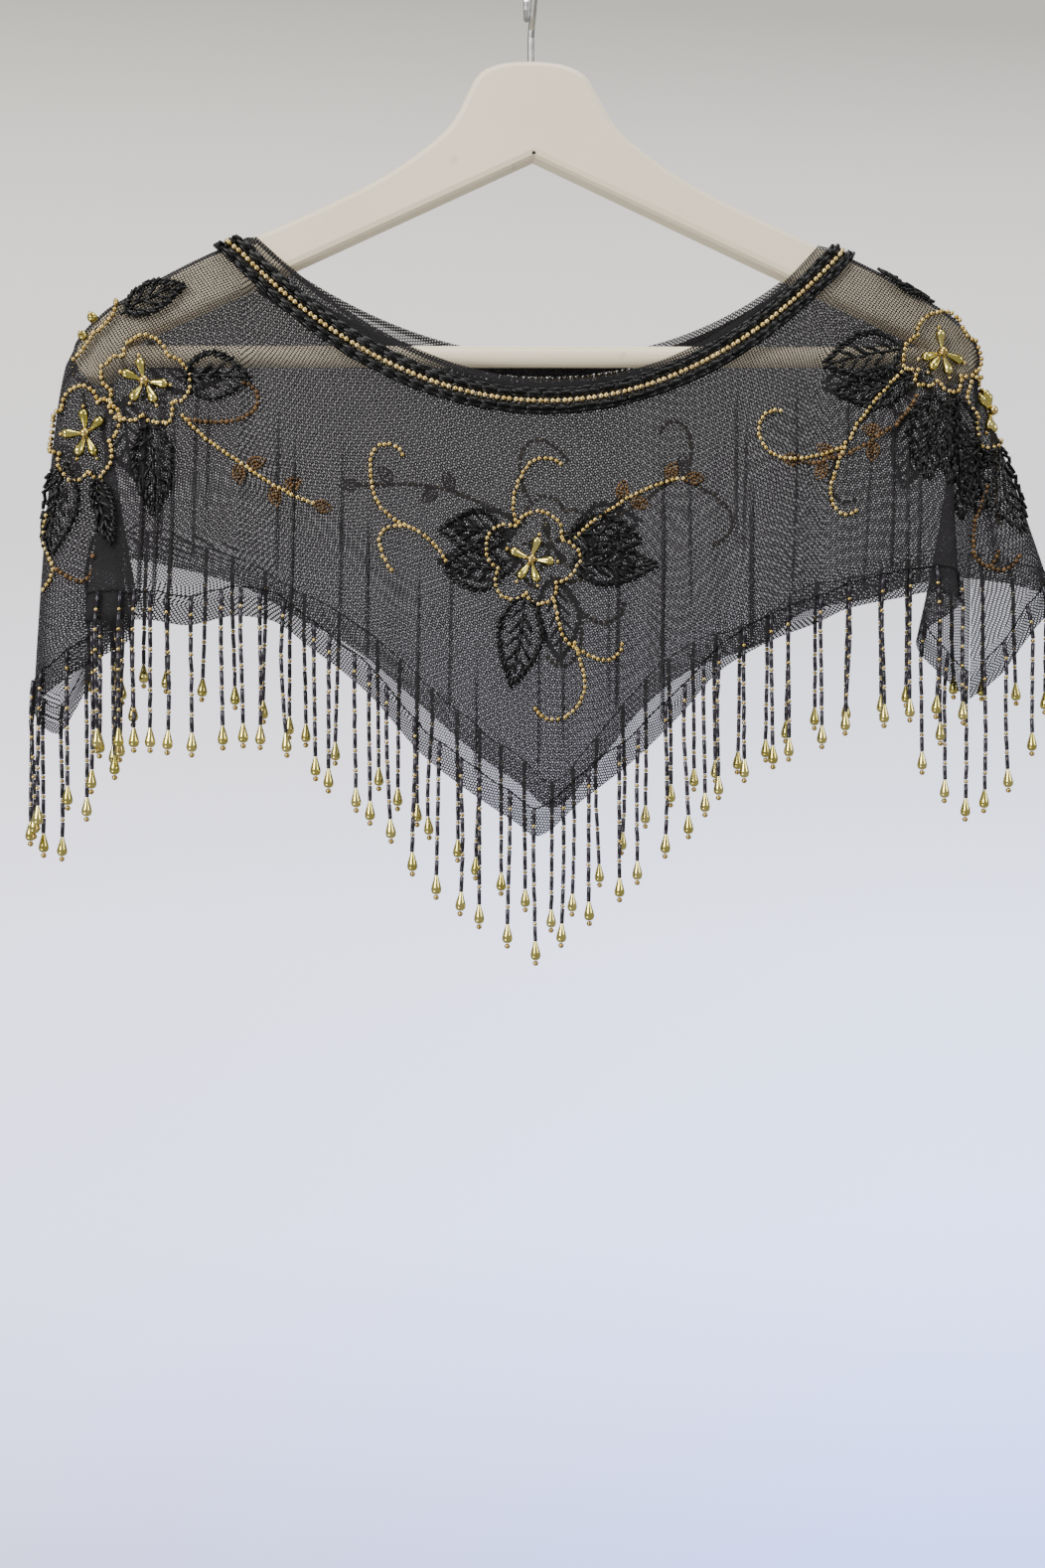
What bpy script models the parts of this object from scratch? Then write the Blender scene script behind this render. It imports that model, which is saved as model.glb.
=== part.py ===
"""Evening cape of black net with beaded flowers and a bead fringe, hung on a painted wooden hanger.

Sizes in the tables are millimetres; the model is in metres, +Z up. The origin is the inner top of the
hook, where a rail bears. +X runs to the viewer's right and the front of the cape faces -Y.
The net is cut as a front and a back that meet along the arms of the hanger and down the side points.
"""
import math

import bmesh
import bpy
from mathutils import Matrix, Vector
from mathutils.bvhtree import BVHTree

MM = 0.001

# Hanger
WOOD_TOP = -59.0
WOOD_THICK = 14.0
WOOD_BEVEL = 3.0
NOTCH_Z = -104.3
UNDER_SLOPE = 0.4645
FOOT_X = 205.0
FOOT_Z = -200.0
FOOT_R = 11.0
BAR_Z = -198.3
BAR_R = 5.0
BAR_HALF = 203.0
BORE_R = 5.3
BORE_END = 203.3
HANG_ROLL = math.radians(1.5)
WIRE_R = 1.6
HOOK_R = 19.0
SHANK_TOP = -46.0
HOOK_END_ANGLE = math.radians(-28)

# Upper edge of the hanger from its crown to the tip of an arm, level and to the right
CROWN = ((0, -59), (14, -60.2), (25, -65), (31, -74.5), (38, -87.3), (47, -96.8), (63, -108.8),
         (80, -119), (103, -130.3), (120, -138.0))
ARM = ((120, -138.0), (134, -144.3), (165, -158.6), (195, -175.5), (203, -181.2), (209.8, -187.8),
       (214.5, -194.5), (216, -200))

# Cloth and what is sewn on it
NET_WALL = 1.1
SEAM_GAP = 0.3
LAY_GAP = 0.35
ARM_GAP = 0.35
NECK_X = 2.0
NECK_LIFT = 1.2e-8
NECK_EDGE = 10.6
NECK_RUNS = {-1: 138.5, 1: 144.0}
NECK_CROSS = {-1: 135.0, 1: 140.5}
CROSS_WIDTH = 4.0
BAND_TURN = {-1: (138.5, 144.0), 1: (142.5, 147.5)}
SHOULDER_RUN = 148.0
WRAP_RUN = 232.0
SIDE_RUN = 242.0
EDGE_DROP = 13.0
SWING_OUT = 1.0
SWING_IN = 1.8
DOWN_ROWS = 6
BAND_HALF = 5.3
BAND_THICK = 1.6
TAPE_HALF = 1.1
TAPE_THICK = 1.0
STRAND_PITCH = 13.2
STRAND_CLEAR = 5.4
STRAND_HALF = 0.9
STRAND_OUT = 2.0

# Bead strand below the thread line: depth under it and half width
STRAND_FORM = (("last bugle", 60.5, 0.9), ("teardrop", 67.5, 2.2), ("end bead", 73.5, 0.9))

# Each hem table gives, for a place along the upper edge, the thread line of the fringe below it.
# run: distance along the upper edge from its middle; x, y, z: the thread line; ease: how the fall spreads
FRONT_HEM = (
    (-242.0, -231.0, -0.15, -355.0, 0.45),
    (-238.5, -227.5, -6.0, -351.0, 0.45),
    (-235.0, -217.0, -8.0, -342.0, 0.5),
    (-231.0, -203.0, -4.2, -332.0, 0.6),
    (-227.0, -191.5, -3.2, -324.0, 1.6),
    (-223.5, -187.5, -7.2, -320.0, 1.6),
    (-220.0, -192.0, -11.2, -318.0, 1.6),
    (-216.0, -201.0, -12.0, -316.5, 1.6),
    (-213.0, -204.5, -14.6, -315.5, 1.6),
    (-210.0, -201.0, -17.3, -315.0, 1.6),
    (-205.0, -192.0, -17.5, -314.5, 1.6),
    (-189.0, -177.0, -16.5, -314.5, 1.2),
    (-172.0, -161.0, -14.5, -316.6, 1.2),
    (-146.0, -137.0, -16.0, -312.2, 1.2),
    (-131.0, -123.0, -15.5, -313.8, 1.2),
    (-109.0, -103.0, -13.5, -326.9, 1.2),
    (-82.0, -77.4, -16.0, -347.4, 1.2),
    (-56.0, -52.5, -13.0, -375.4, 1.2),
    (-32.0, -29.8, -16.0, -393.4, 1.2),
    (-8.0, -7.4, -14.0, -408.3, 1.2),
    (0.0, 0.6, -14.0, -413.9, 1.2),
    (23.0, 22.2, -17.0, -397.1, 1.2),
    (50.0, 47.8, -13.0, -377.9, 1.2),
    (74.0, 69.7, -17.0, -356.1, 1.2),
    (94.0, 88.9, -13.5, -335.7, 1.2),
    (121.0, 115.4, -16.5, -320.3, 1.2),
    (146.0, 137.3, -14.5, -312.0, 1.2),
    (161.0, 151.0, -15.5, -305.6, 1.2),
    (189.0, 177.4, -16.5, -300.0, 1.2),
    (205.0, 192.0, -17.3, -297.5, 1.6),
    (210.0, 202.0, -17.3, -299.0, 1.6),
    (213.5, 206.0, -14.6, -302.0, 1.6),
    (217.0, 202.5, -12.0, -307.0, 1.6),
    (221.0, 195.0, -11.2, -313.0, 1.6),
    (224.5, 190.5, -7.2, -319.0, 1.6),
    (228.0, 194.0, -3.2, -326.0, 1.6),
    (232.5, 204.0, -3.2, -337.0, 1.0),
    (242.0, 214.85, -5.0, -348.0, 0.9),
)
BACK_HEM = (
    (-242.0, -231.0, 0.15, -355.0, 0.45),
    (-239.5, -229.5, 5.0, -361.0, 0.45),
    (-236.5, -222.0, 9.0, -366.0, 0.45),
    (-233.5, -213.0, 8.0, -353.0, 0.5),
    (-231.0, -204.0, 4.2, -335.0, 0.6),
    (-227.0, -192.5, 3.2, -310.0, 1.6),
    (-223.5, -188.5, 7.2, -299.0, 1.6),
    (-220.0, -193.0, 11.2, -292.0, 1.6),
    (-216.0, -202.0, 12.0, -288.0, 1.6),
    (-213.0, -205.5, 14.6, -285.0, 1.6),
    (-210.0, -202.0, 17.3, -283.0, 1.6),
    (-205.0, -193.0, 17.5, -282.0, 1.6),
    (-182.0, -171.0, 15.0, -285.6, 1.2),
    (-149.0, -140.0, 16.5, -293.6, 1.2),
    (-115.0, -109.0, 14.0, -310.3, 1.2),
    (-87.0, -82.4, 16.0, -324.8, 1.2),
    (-57.0, -54.2, 13.5, -349.0, 1.2),
    (-26.0, -24.4, 16.0, -374.8, 1.2),
    (-2.0, -1.6, 14.0, -391.1, 1.2),
    (12.0, 11.5, 14.5, -401.3, 1.2),
    (39.0, 37.5, 16.5, -376.0, 1.2),
    (59.0, 55.7, 13.5, -353.1, 1.2),
    (87.0, 81.9, 16.0, -332.9, 1.2),
    (123.0, 116.4, 14.0, -319.8, 1.2),
    (150.0, 140.5, 16.0, -303.3, 1.2),
    (186.0, 174.0, 14.5, -296.4, 1.2),
    (205.0, 195.0, 16.5, -289.5, 1.6),
    (214.0, 216.0, 15.0, -286.0, 1.0),
    (222.0, 236.0, 14.5, -288.0, 0.95),
    (227.0, 251.0, 11.5, -292.0, 0.88),
    (231.0, 257.5, 5.0, -296.5, 0.85),
    (234.5, 254.0, -3.0, -302.0, 0.95),
    (237.5, 242.5, -8.5, -315.0, 1.0),
    (240.0, 228.0, -8.0, -337.0, 1.0),
    (242.0, 215.15, -5.0, -348.0, 1.0),
)
# Where the net's columns stand beyond the neck, along the upper edge, on both sides
SIDE_RUNS = (141.5, 144.5, 146, 148, 156, 168, 182, 195, 202, 206, 208.5, 210.8, 213, 215.2, 217.4,
             219.6, 221.7, 223.8, 226, 228.2, 230.6, 233, 235.4, 237.8, 240, 242)
NECK_STEP = 13.6

PANELS = {
    "front": {"face": -1, "hem": FRONT_HEM, "neck_z": -221.7, "neck_y": 9.4, "point_run": 0.0},
    "back": {"face": 1, "hem": BACK_HEM, "neck_z": -206.5, "neck_y": 8.6, "point_run": 12.0},
}

# Beaded motifs. seen_from: compass angle of the eye about Z, 0 in front, -90 at the viewer's left
FLOWERS = (
    # name, panel, x, y, z, seen_from, turn
    ("flower_centre_front", "front", -1.3, -12.0, -296.9, 0.0, 8.0),
    ("flower_centre_back", "back", 11.0, 12.0, -286.0, 180.0, -10.0),
    ("flower_left_front", "front", -179.7, -12.0, -217.7, 0.0, 0.0),
    ("flower_left_side", "front", -213.0, -6.0, -242.8, -22.0, 12.0),
    ("flower_left_back", "back", -196.5, 12.0, -204.0, 180.0, 20.0),
    ("flower_right_front", "front", 199.0, -12.0, -193.5, 0.0, 10.0),
    ("flower_right_side", "back", 227.0, 4.0, -219.5, 32.0, -14.0),
    ("flower_right_back", "back", 196.0, 12.0, -200.0, 180.0, 30.0),
)
PETALS = 5
BEAD_R = 2.45
FLOWER_HIGH = 4.4
# Each petal grows out of a side of the centre bead in three steps: length, change of width
PETAL_STEPS = ((1.2, 0.9), (4.6, 2.9), (2.6, 0.4))
LEAF_THICK = 1.6
# Each leaf as its flower's eye sees it, from the flower's centre: root right and up, tip right and up
LEAVES = (
    # name, root right, root up, tip right, tip up, half width
    ("leaf_centre_front_1", -14.1, 10.9, -42.2, 13.4, 7.5),
    ("leaf_centre_front_2", -13.7, -5.6, -40.2, -7.6, 8.0),
    ("leaf_centre_front_3", 18.8, 13.9, 52.3, 11.9, 7.0),
    ("leaf_centre_front_4", 19.8, -2.6, 58.3, -4.6, 7.0),
    ("leaf_centre_front_5", -3.3, -18.1, -8.0, -57.1, 9.5),
    ("leaf_centre_back_1", -15.0, 8.0, -43.0, 12.0, 7.5),
    ("leaf_centre_back_2", -15.0, -7.0, -41.0, -10.0, 8.0),
    ("leaf_centre_back_3", 17.0, 8.0, 49.0, 10.0, 7.0),
    ("leaf_centre_back_4", 17.0, -8.0, 53.0, -9.0, 7.0),
    ("leaf_centre_back_5", -1.0, -18.0, -5.0, -56.0, 9.5),
    ("leaf_left_front_1", 19.7, 2.2, 48.9, 3.6, 9.0),
    ("leaf_left_front_2", 3.1, -20.3, 4.9, -58.3, 8.0),
    ("leaf_left_front_3", -9.3, 33.2, 18.7, 45.2, 5.5),
    ("leaf_left_side_1", 1.0, -17.2, -3.0, -49.1, 8.0),
    ("leaf_left_back_1", -18.5, -1.0, -49.5, -5.0, 9.0),
    ("leaf_left_back_2", -4.0, -18.0, -9.0, -52.0, 8.0),
    ("leaf_right_front_1", -21.0, 1.5, -58.1, -5.5, 8.0),
    ("leaf_right_front_2", -20.5, -14.5, -52.0, -24.5, 7.5),
    ("leaf_right_front_3", -5.0, -22.5, -9.0, -60.5, 8.0),
    ("leaf_right_side_1", 0.5, -18.5, 4.0, -53.0, 7.0),
    ("leaf_right_back_1", 18.0, -1.0, 49.0, -5.0, 9.0),
    ("leaf_right_back_2", 3.0, -19.0, 7.0, -54.0, 8.0),
)
# Leaf outline: share of its length, share of its half width
LEAF_FORM = ((0.0, 0.16), (0.2, 0.78), (0.42, 1.0), (0.72, 0.66), (1.0, 0.1))


def clear_scene():
    for item in list(bpy.data.objects):
        bpy.data.objects.remove(item, do_unlink=True)


def material(name, colour, roughness, metallic=0.0):
    made = bpy.data.materials.new(name)
    made.use_nodes = True
    shader = made.node_tree.nodes["Principled BSDF"]
    shader.inputs["Base Color"].default_value = (*colour, 1.0)
    shader.inputs["Roughness"].default_value = roughness
    shader.inputs["Metallic"].default_value = metallic
    return made


def finish(name, mesh_data, surface, smooth_angle=40):
    """Turn a bmesh in millimetres into a named object in metres."""
    bmesh.ops.recalc_face_normals(mesh_data, faces=mesh_data.faces)
    bmesh.ops.scale(mesh_data, vec=(MM, MM, MM), verts=mesh_data.verts)
    mesh = bpy.data.meshes.new(name)
    mesh_data.to_mesh(mesh)
    mesh_data.free()
    mesh.shade_smooth()
    mesh.set_sharp_from_angle(angle=math.radians(smooth_angle))
    mesh.materials.append(surface)
    made = bpy.data.objects.new(name, mesh)
    bpy.context.scene.collection.objects.link(made)
    return made


def catmull(points, steps):
    """A smooth line through the points, with the given number of steps in each stretch."""
    line = []
    last = len(points) - 1
    for i in range(last):
        p0, p1, p2, p3 = (Vector(points[max(0, min(last, k))]) for k in (i - 1, i, i + 1, i + 2))
        for j in range(steps):
            t = j / steps
            line.append(0.5 * (2 * p1 + (p2 - p0) * t + (2 * p0 - 5 * p1 + 4 * p2 - p3) * t ** 2
                               + (3 * p1 - p0 - 3 * p2 + p3) * t ** 3))
    line.append(Vector(points[last]))
    return line


def slopes(rows, column):
    """Slopes of a curve through a table column that never swings past its rows."""
    steps = [(b[column] - a[column]) / (b[0] - a[0]) for a, b in zip(rows, rows[1:])]
    found = [steps[0]]
    for left, right in zip(steps, steps[1:]):
        found.append(2 * left * right / (left + right) if left * right > 0 else 0.0)
    return found + [steps[-1]]


def read_table(rows, where):
    """Every column of a table at a place between its rows."""
    i = max(k for k in range(len(rows) - 1) if k == 0 or rows[k][0] <= where)
    width = rows[i + 1][0] - rows[i][0]
    t = (where - rows[i][0]) / width
    values = []
    for column in range(1, len(rows[0])):
        bend = slopes(rows, column)
        a, b = rows[i][column], rows[i + 1][column]
        values.append((1 + 2 * t) * (1 - t) ** 2 * a + t * (1 - t) ** 2 * width * bend[i]
                      + t * t * (3 - 2 * t) * b + t * t * (t - 1) * width * bend[i + 1])
    return values


def rolled(x, z):
    """A point of the level hanger, as it hangs with its left arm a little lower."""
    turn_c, turn_s = math.cos(HANG_ROLL), math.sin(HANG_ROLL)
    return x * turn_c - (z - WOOD_TOP) * turn_s, WOOD_TOP + x * turn_s + (z - WOOD_TOP) * turn_c


ARM_LINE = catmull([(x, z, 0) for x, z in ARM], 6)


def along_arm(distance, side):
    """Point and outward direction on an arm's upper edge, in the hanging position."""
    gone = 0.0
    for a, b in zip(ARM_LINE, ARM_LINE[1:]):
        piece = (b - a).length
        if gone + piece >= distance or b is ARM_LINE[-1]:
            place = a + (b - a) * min(1.0, (distance - gone) / piece)
            place.y -= max(0.0, distance - gone - piece)
            out = Vector(((a - b).y, (b - a).x)).normalized()
            if out.x < 0:
                out = -out
            break
        gone += piece
    x, z = rolled(side * place.x, place.y)
    ax, az = rolled(side * (place.x + out.x), place.y + out.y)
    return Vector((x, 0, z)), Vector((ax - x, 0, az - z))


ARM_LENGTH = sum((b - a).length for a, b in zip(ARM_LINE, ARM_LINE[1:]))


def arm_distance(x):
    """Distance along the arm's upper edge to a place on its straight stretch."""
    return (x - ARM[0][0]) * math.hypot(1.0, (ARM[1][1] - ARM[0][1]) / (ARM[1][0] - ARM[0][0]))


# The net's way over an arm, seen along the arm: height above its edge, depth from its middle
OVER_ARM = ((ARM_GAP + NET_WALL / 2, SEAM_GAP / 2), (ARM_GAP + NET_WALL / 2, 5.6), (0.1, 7.6), (-1.9, 7.95),
            (-9.0, 7.95))
OVER_STOPS = (0.0, 5.45, 7.6, 9.6)


def over_arm(reach):
    """Height and depth at a distance from the seam along the way over the arm."""
    for a, b in zip(OVER_ARM, OVER_ARM[1:]):
        piece = math.dist(a, b)
        if reach <= piece or b is OVER_ARM[-1]:
            t = reach / piece
            return a[0] + (b[0] - a[0]) * t, a[1] + (b[1] - a[1]) * t
        reach -= piece


def neck_line(panel, x):
    """Middle of the neck band at a distance x from the middle of the neck, and its slope."""
    z = panel["neck_z"] + panel["rise"] * x * x + NECK_LIFT * x ** 4
    return z, 2 * panel["rise"] * x + 4 * NECK_LIFT * x ** 3


def upper_points(panel, run):
    """The four top points of a column of the net: over the arm, or just under the neck edge."""
    face = panel["face"]
    side = 1 if run > 0 else -1
    neck_run = NECK_RUNS[side]
    if abs(run) <= neck_run:
        z, slope = neck_line(panel, run)
        tilt = math.atan(slope)
        depth = face * (panel["neck_y"] - (panel["neck_y"] - 7.95) * (run / neck_run) ** 2)
        edge = Vector((NECK_X + run - NECK_EDGE * math.sin(tilt), depth, z + NECK_EDGE * math.cos(tilt)))
        return [edge + Vector((0, 0, -drop)) for drop in (0, 1.6, 3.2, 5.0)]
    first = arm_distance(NECK_CROSS[side])
    cross = min(1.0, (abs(run) - neck_run) / (SHOULDER_RUN - neck_run))
    share = max(0.0, (abs(run) - SHOULDER_RUN) / (SIDE_RUN - SHOULDER_RUN))
    distance = first + CROSS_WIDTH * cross + (ARM_LENGTH - first - CROSS_WIDTH) * share
    wrap = max(0.0, (abs(run) - WRAP_RUN) / (SIDE_RUN - WRAP_RUN)) * math.pi / 2
    flat = math.sqrt(max(0.0, math.cos(wrap)))
    round_off = math.sqrt(math.sin(wrap))
    lift = OVER_ARM[0][0]
    points = []
    for step in range(4):
        even = 1 - cross
        reach = OVER_STOPS[step] * cross + OVER_STOPS[3] * even * (0.9 + 0.2 * step)
        off, depth = over_arm(reach)
        off = off + (lift - off) * round_off
        depth = SEAM_GAP / 2 + (depth - SEAM_GAP / 2) * flat
        place, out = along_arm(distance + 1.6 * step * wrap / (math.pi / 2), side)
        points.append(place + out * off + Vector((0, face * depth, 0)))
    return points


def net_column(panel, run):
    """Middle surface of the net from its upper edge to its raw hem at one place."""
    x, y, z, ease = read_table(panel["hem"], run)
    points = upper_points(panel, run)
    top = points[-1]
    fall = top.z - z
    inward = min(1.0, max(0.0, (11.0 - abs(y)) / 4.0)) * (abs(x) < 214)
    turn = SWING_OUT + (SWING_IN - SWING_OUT) * inward
    for j in range(1, DOWN_ROWS + 2):
        t = j / DOWN_ROWS if j <= DOWN_ROWS else 1 + EDGE_DROP / fall
        spread, swing = t ** ease, t ** turn
        if t > 1:
            spread, swing = 1 + ease * (t - 1), 1 + turn * (t - 1)
        points.append(Vector((top.x + (x - top.x) * spread, top.y + (y - top.y) * swing, top.z - fall * t)))
    return points


def panel_runs(panel):
    left, right = NECK_RUNS[-1], NECK_RUNS[1]
    count = int((left + right) / NECK_STEP)
    runs = [-left + (left + right) * k / count for k in range(count + 1)]
    nearest = min(range(count + 1), key=lambda k: abs(runs[k] - panel["point_run"]))
    runs[nearest] = panel["point_run"]
    return ([-r for r in reversed(SIDE_RUNS) if r > left + 1] + runs
            + [r for r in SIDE_RUNS if r > right + 0.4])


def grid_normals(grid, flip):
    """Outward direction at each point of a grid of columns."""
    found = []
    for i, column in enumerate(grid):
        line = []
        for j in range(len(column)):
            across = grid[min(i + 1, len(grid) - 1)][j] - grid[max(i - 1, 0)][j]
            down = column[min(j + 1, len(column) - 1)] - column[max(j - 1, 0)]
            line.append(across.cross(down).normalized() * flip)
        found.append(line)
    return found


def close_seams(front, back, front_normals, back_normals):
    """Square the two edges of each seam to one another, so that they stand a clear gap apart."""
    for end in (0, -1):
        for j in range(len(front[end])):
            gap = back[end][j] - front[end][j]
            column = front[end]
            down = column[min(j + 1, len(column) - 1)] - column[max(j - 1, 0)]
            square = gap.cross(down).normalized()
            for normals in (front_normals, back_normals):
                normals[end][j] = square if square.dot(normals[end][j]) > 0 else -square


def moved(grid, normals, distance):
    return [[p + n * distance for p, n in zip(col, nor)] for col, nor in zip(grid, normals)]


def wall(inner, outer):
    """One closed wall between two grids of columns."""
    shape = bmesh.new()
    sheets = [[[shape.verts.new(p) for p in column] for column in grid] for grid in (inner, outer)]
    wide, high = len(inner), len(inner[0])
    for sheet in sheets:
        for i in range(wide - 1):
            for j in range(high - 1):
                shape.faces.new((sheet[i][j], sheet[i + 1][j], sheet[i + 1][j + 1], sheet[i][j + 1]))
    rim = [(i, 0) for i in range(wide)] + [(wide - 1, j) for j in range(1, high)]
    rim += [(i, high - 1) for i in range(wide - 2, -1, -1)] + [(0, j) for j in range(high - 2, 0, -1)]
    for (a, b), (c, d) in zip(rim, rim[1:] + rim[:1]):
        shape.faces.new((sheets[0][a][b], sheets[0][c][d], sheets[1][c][d], sheets[1][a][b]))
    return shape


def hanger_body(paint):
    """Flat wooden body with two arms, rounded edges and a blind hole in each arm for the bar."""
    crown = catmull([(x, z, 0) for x, z in CROWN], 3)
    upper = crown[:-1] + catmull([(x, z, 0) for x, z in ARM[:-1]], 2)
    start = math.atan2(ARM[-2][1] - FOOT_Z, ARM[-2][0] - FOOT_X)
    turns = [start - a * (start + math.pi) / 7 for a in range(1, 8)]
    foot = [Vector((FOOT_X + FOOT_R * math.cos(a), FOOT_Z + FOOT_R * math.sin(a), 0)) for a in turns]
    under = [Vector((191.0, -194.0, 0)), Vector((186.0, NOTCH_Z - UNDER_SLOPE * 186.0, 0))]
    half = upper + foot + under
    outline = [Vector((0, NOTCH_Z, 0))] + [Vector((-p.x, p.y, 0)) for p in reversed(half[1:])] + half
    shape = bmesh.new()
    ring = [shape.verts.new(Vector((*rolled(p.x, p.y), 0)).xzy) for p in outline]
    for corner in ring:
        corner.co.y = -WOOD_THICK / 2
    front = shape.faces.new(ring)
    back = bmesh.ops.extrude_face_region(shape, geom=[front])["geom"]
    corners = [g for g in back if isinstance(g, bmesh.types.BMVert)]
    bmesh.ops.translate(shape, vec=(0, WOOD_THICK, 0), verts=corners)
    bmesh.ops.recalc_face_normals(shape, faces=shape.faces)
    rims = [e for e in shape.edges if abs(e.verts[0].co.y - e.verts[1].co.y) < 0.01]
    bmesh.ops.bevel(shape, geom=rims, offset=WOOD_BEVEL, segments=2, profile=0.5, affect="EDGES",
                    material=-1)
    bmesh.ops.triangulate(shape, faces=[f for f in shape.faces if len(f.verts) > 4])
    body = finish("hanger_body", shape, paint)
    for side in (-1, 1):
        drill = bmesh.new()
        x, z = rolled(side * (BORE_END + 150) / 2, BAR_Z)
        place = Matrix.Translation((x, 0, z)) @ Matrix.Rotation(math.pi / 2 - HANG_ROLL, 4, "Y")
        bmesh.ops.create_cone(drill, cap_ends=True, segments=20, radius1=BORE_R, radius2=BORE_R,
                              depth=BORE_END - 150, matrix=place)
        cutter = finish(f"drill_{'left' if side < 0 else 'right'}", drill, paint)
        cutter.hide_render = True
        cutter.display_type = "WIRE"
        hole = body.modifiers.new("bar hole", "BOOLEAN")
        hole.operation = "DIFFERENCE"
        hole.solver = "EXACT"
        hole.object = cutter
    return body


def hanger_bar(paint):
    shape = bmesh.new()
    x, z = rolled(0, BAR_Z)
    place = Matrix.Translation((x, 0, z)) @ Matrix.Rotation(math.pi / 2 - HANG_ROLL, 4, "Y")
    bmesh.ops.create_cone(shape, cap_ends=True, segments=20, radius1=BAR_R, radius2=BAR_R,
                          depth=2 * BAR_HALF, matrix=place)
    return finish("hanger_bar", shape, paint)


def hanger_hook(steel):
    """Round wire: a shank that stands in the wood, a belly towards the viewer and a round hook."""
    reach = HOOK_R + WIRE_R
    centre = -HOOK_R
    line = [(0, 0, WOOD_TOP + LAY_GAP), (0, 0, -53.0), (0, 0, SHANK_TOP)]
    line += [(0, -2.4, -42.6), (0, -8.2, -38.9)]
    start, stop = math.radians(222), HOOK_END_ANGLE
    steps = 18
    for k in range(steps + 1):
        a = start + (stop - start) * k / steps
        line.append((0, reach * math.cos(a), centre + reach * math.sin(a)))
    curve = bpy.data.curves.new("hanger_hook", "CURVE")
    curve.dimensions = "3D"
    spline = curve.splines.new("POLY")
    spline.points.add(len(line) - 1)
    for point, place in zip(spline.points, line):
        point.co = (*[c * MM for c in place], 1.0)
    curve.bevel_depth = WIRE_R * MM
    curve.bevel_resolution = 2
    curve.use_fill_caps = True
    curve.materials.append(steel)
    made = bpy.data.objects.new("hanger_hook", curve)
    bpy.context.scene.collection.objects.link(made)
    return made


def surface_tree(grid):
    """A searchable copy of a net's outer face."""
    high = len(grid[0])
    points = [p for column in grid for p in column]
    faces = []
    for i in range(len(grid) - 1):
        for j in range(high - 1):
            a, b, c, d = i * high + j, (i + 1) * high + j, (i + 1) * high + j + 1, i * high + j + 1
            faces += [(a, b, c), (a, c, d)]
    return BVHTree.FromPolygons(points, faces)


def eye(angle):
    """Directions to the right of and away from an eye that looks level at the cape."""
    a = math.radians(angle)
    return Vector((math.cos(a), math.sin(a), 0)), Vector((-math.sin(a), math.cos(a), 0))


def laid(tree, aim, angle):
    """Where the eye's ray through a point first meets the net."""
    away = eye(angle)[1]
    place, normal, _, _ = tree.ray_cast(aim - away * 300, away)
    return place, (-normal if normal.dot(away) > 0 else normal)


def settled(make, nets):
    """Raise a piece off the net in small steps until it is clear of it."""
    rise = LAY_GAP
    while True:
        shape = make(rise)
        tree = BVHTree.FromBMesh(shape)
        if not any(tree.overlap(net) for net in nets):
            shape.free()
            return make(rise + LAY_GAP / 2)
        shape.free()
        rise += LAY_GAP


def band_line(panel):
    """Middle of the neck band and the direction towards the neck, from arm to arm."""
    face = panel["face"]
    ends = {}
    for side, (last_run, top_x) in BAND_TURN.items():
        z, slope = neck_line(panel, side * last_run)
        low = Vector((NECK_X + side * last_run, face * 9.0, z))
        tilt = math.atan(slope)
        aside = Vector((-math.sin(tilt), 0, math.cos(tilt)))
        place, out = along_arm(arm_distance(top_x), side)
        along = Vector((-side * abs(out.z), 0, abs(out.x)))
        corner = place + out * 0.6 + Vector((0, face * 7.6, 0))
        steps = [(place + out * 1.2 + Vector((0, face * depth, 0)), along)
                 for depth in (SEAM_GAP / 2, 3.2, 5.4, 6.6)]
        steps += [(corner.lerp(low, t), along.lerp(aside, t).normalized()) for t in (0.0, 0.25, 0.5, 0.75)]
        ends[side] = steps
    middle = []
    span = BAND_TURN[-1][0] + BAND_TURN[1][0]
    steps = int(span / 9.0)
    for k in range(steps + 1):
        run = -BAND_TURN[-1][0] + span * k / steps
        z, slope = neck_line(panel, run)
        tilt = math.atan(slope)
        aside = Vector((-math.sin(tilt), 0, math.cos(tilt)))
        middle.append((Vector((NECK_X + run, face * 12.0, z)), aside))
    return ends[-1] + middle + list(reversed(ends[1]))


def neck_band(name, panel, tree, surface):
    """A flat beaded band round the neck, from the top of one arm to the top of the other."""
    face = panel["face"]
    low, high = [], []
    line = band_line(panel)
    for k, (place, inward) in enumerate(line):
        column_low, column_high = [], []
        on_top = min(k, len(line) - 1 - k) == 0
        gap = LAY_GAP + (0.25 if min(k, len(line) - 1 - k) < 9 else 0.0)
        for share in (-1, 0, 1):
            spot, normal = tree.find_nearest(place + inward * BAND_HALF * share)[:2]
            if normal.dot(Vector((0, face, 0.6))) < 0:
                normal = -normal
            spot = spot.copy()
            if on_top:
                spot.y = face * SEAM_GAP / 2
                normal = Vector((normal.x, 0, normal.z)).normalized()
            column_low.append(spot + normal * gap)
            column_high.append(spot + normal * (gap + BAND_THICK))
        low.append(column_low)
        high.append(column_high)
    return finish(name, wall(low, high), surface)


def hem_samples(panel, grid, normals):
    """Thread line of the fringe with the raw edge below it: place, direction out, both by distance."""
    thread = [column[-2] for column in grid]
    edge = [column[-1] for column in grid]
    out = [column[-2] for column in normals]
    reach = [0.0]
    for a, b in zip(thread, thread[1:]):
        reach.append(reach[-1] + (b - a).length)
    return thread, edge, out, reach


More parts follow.
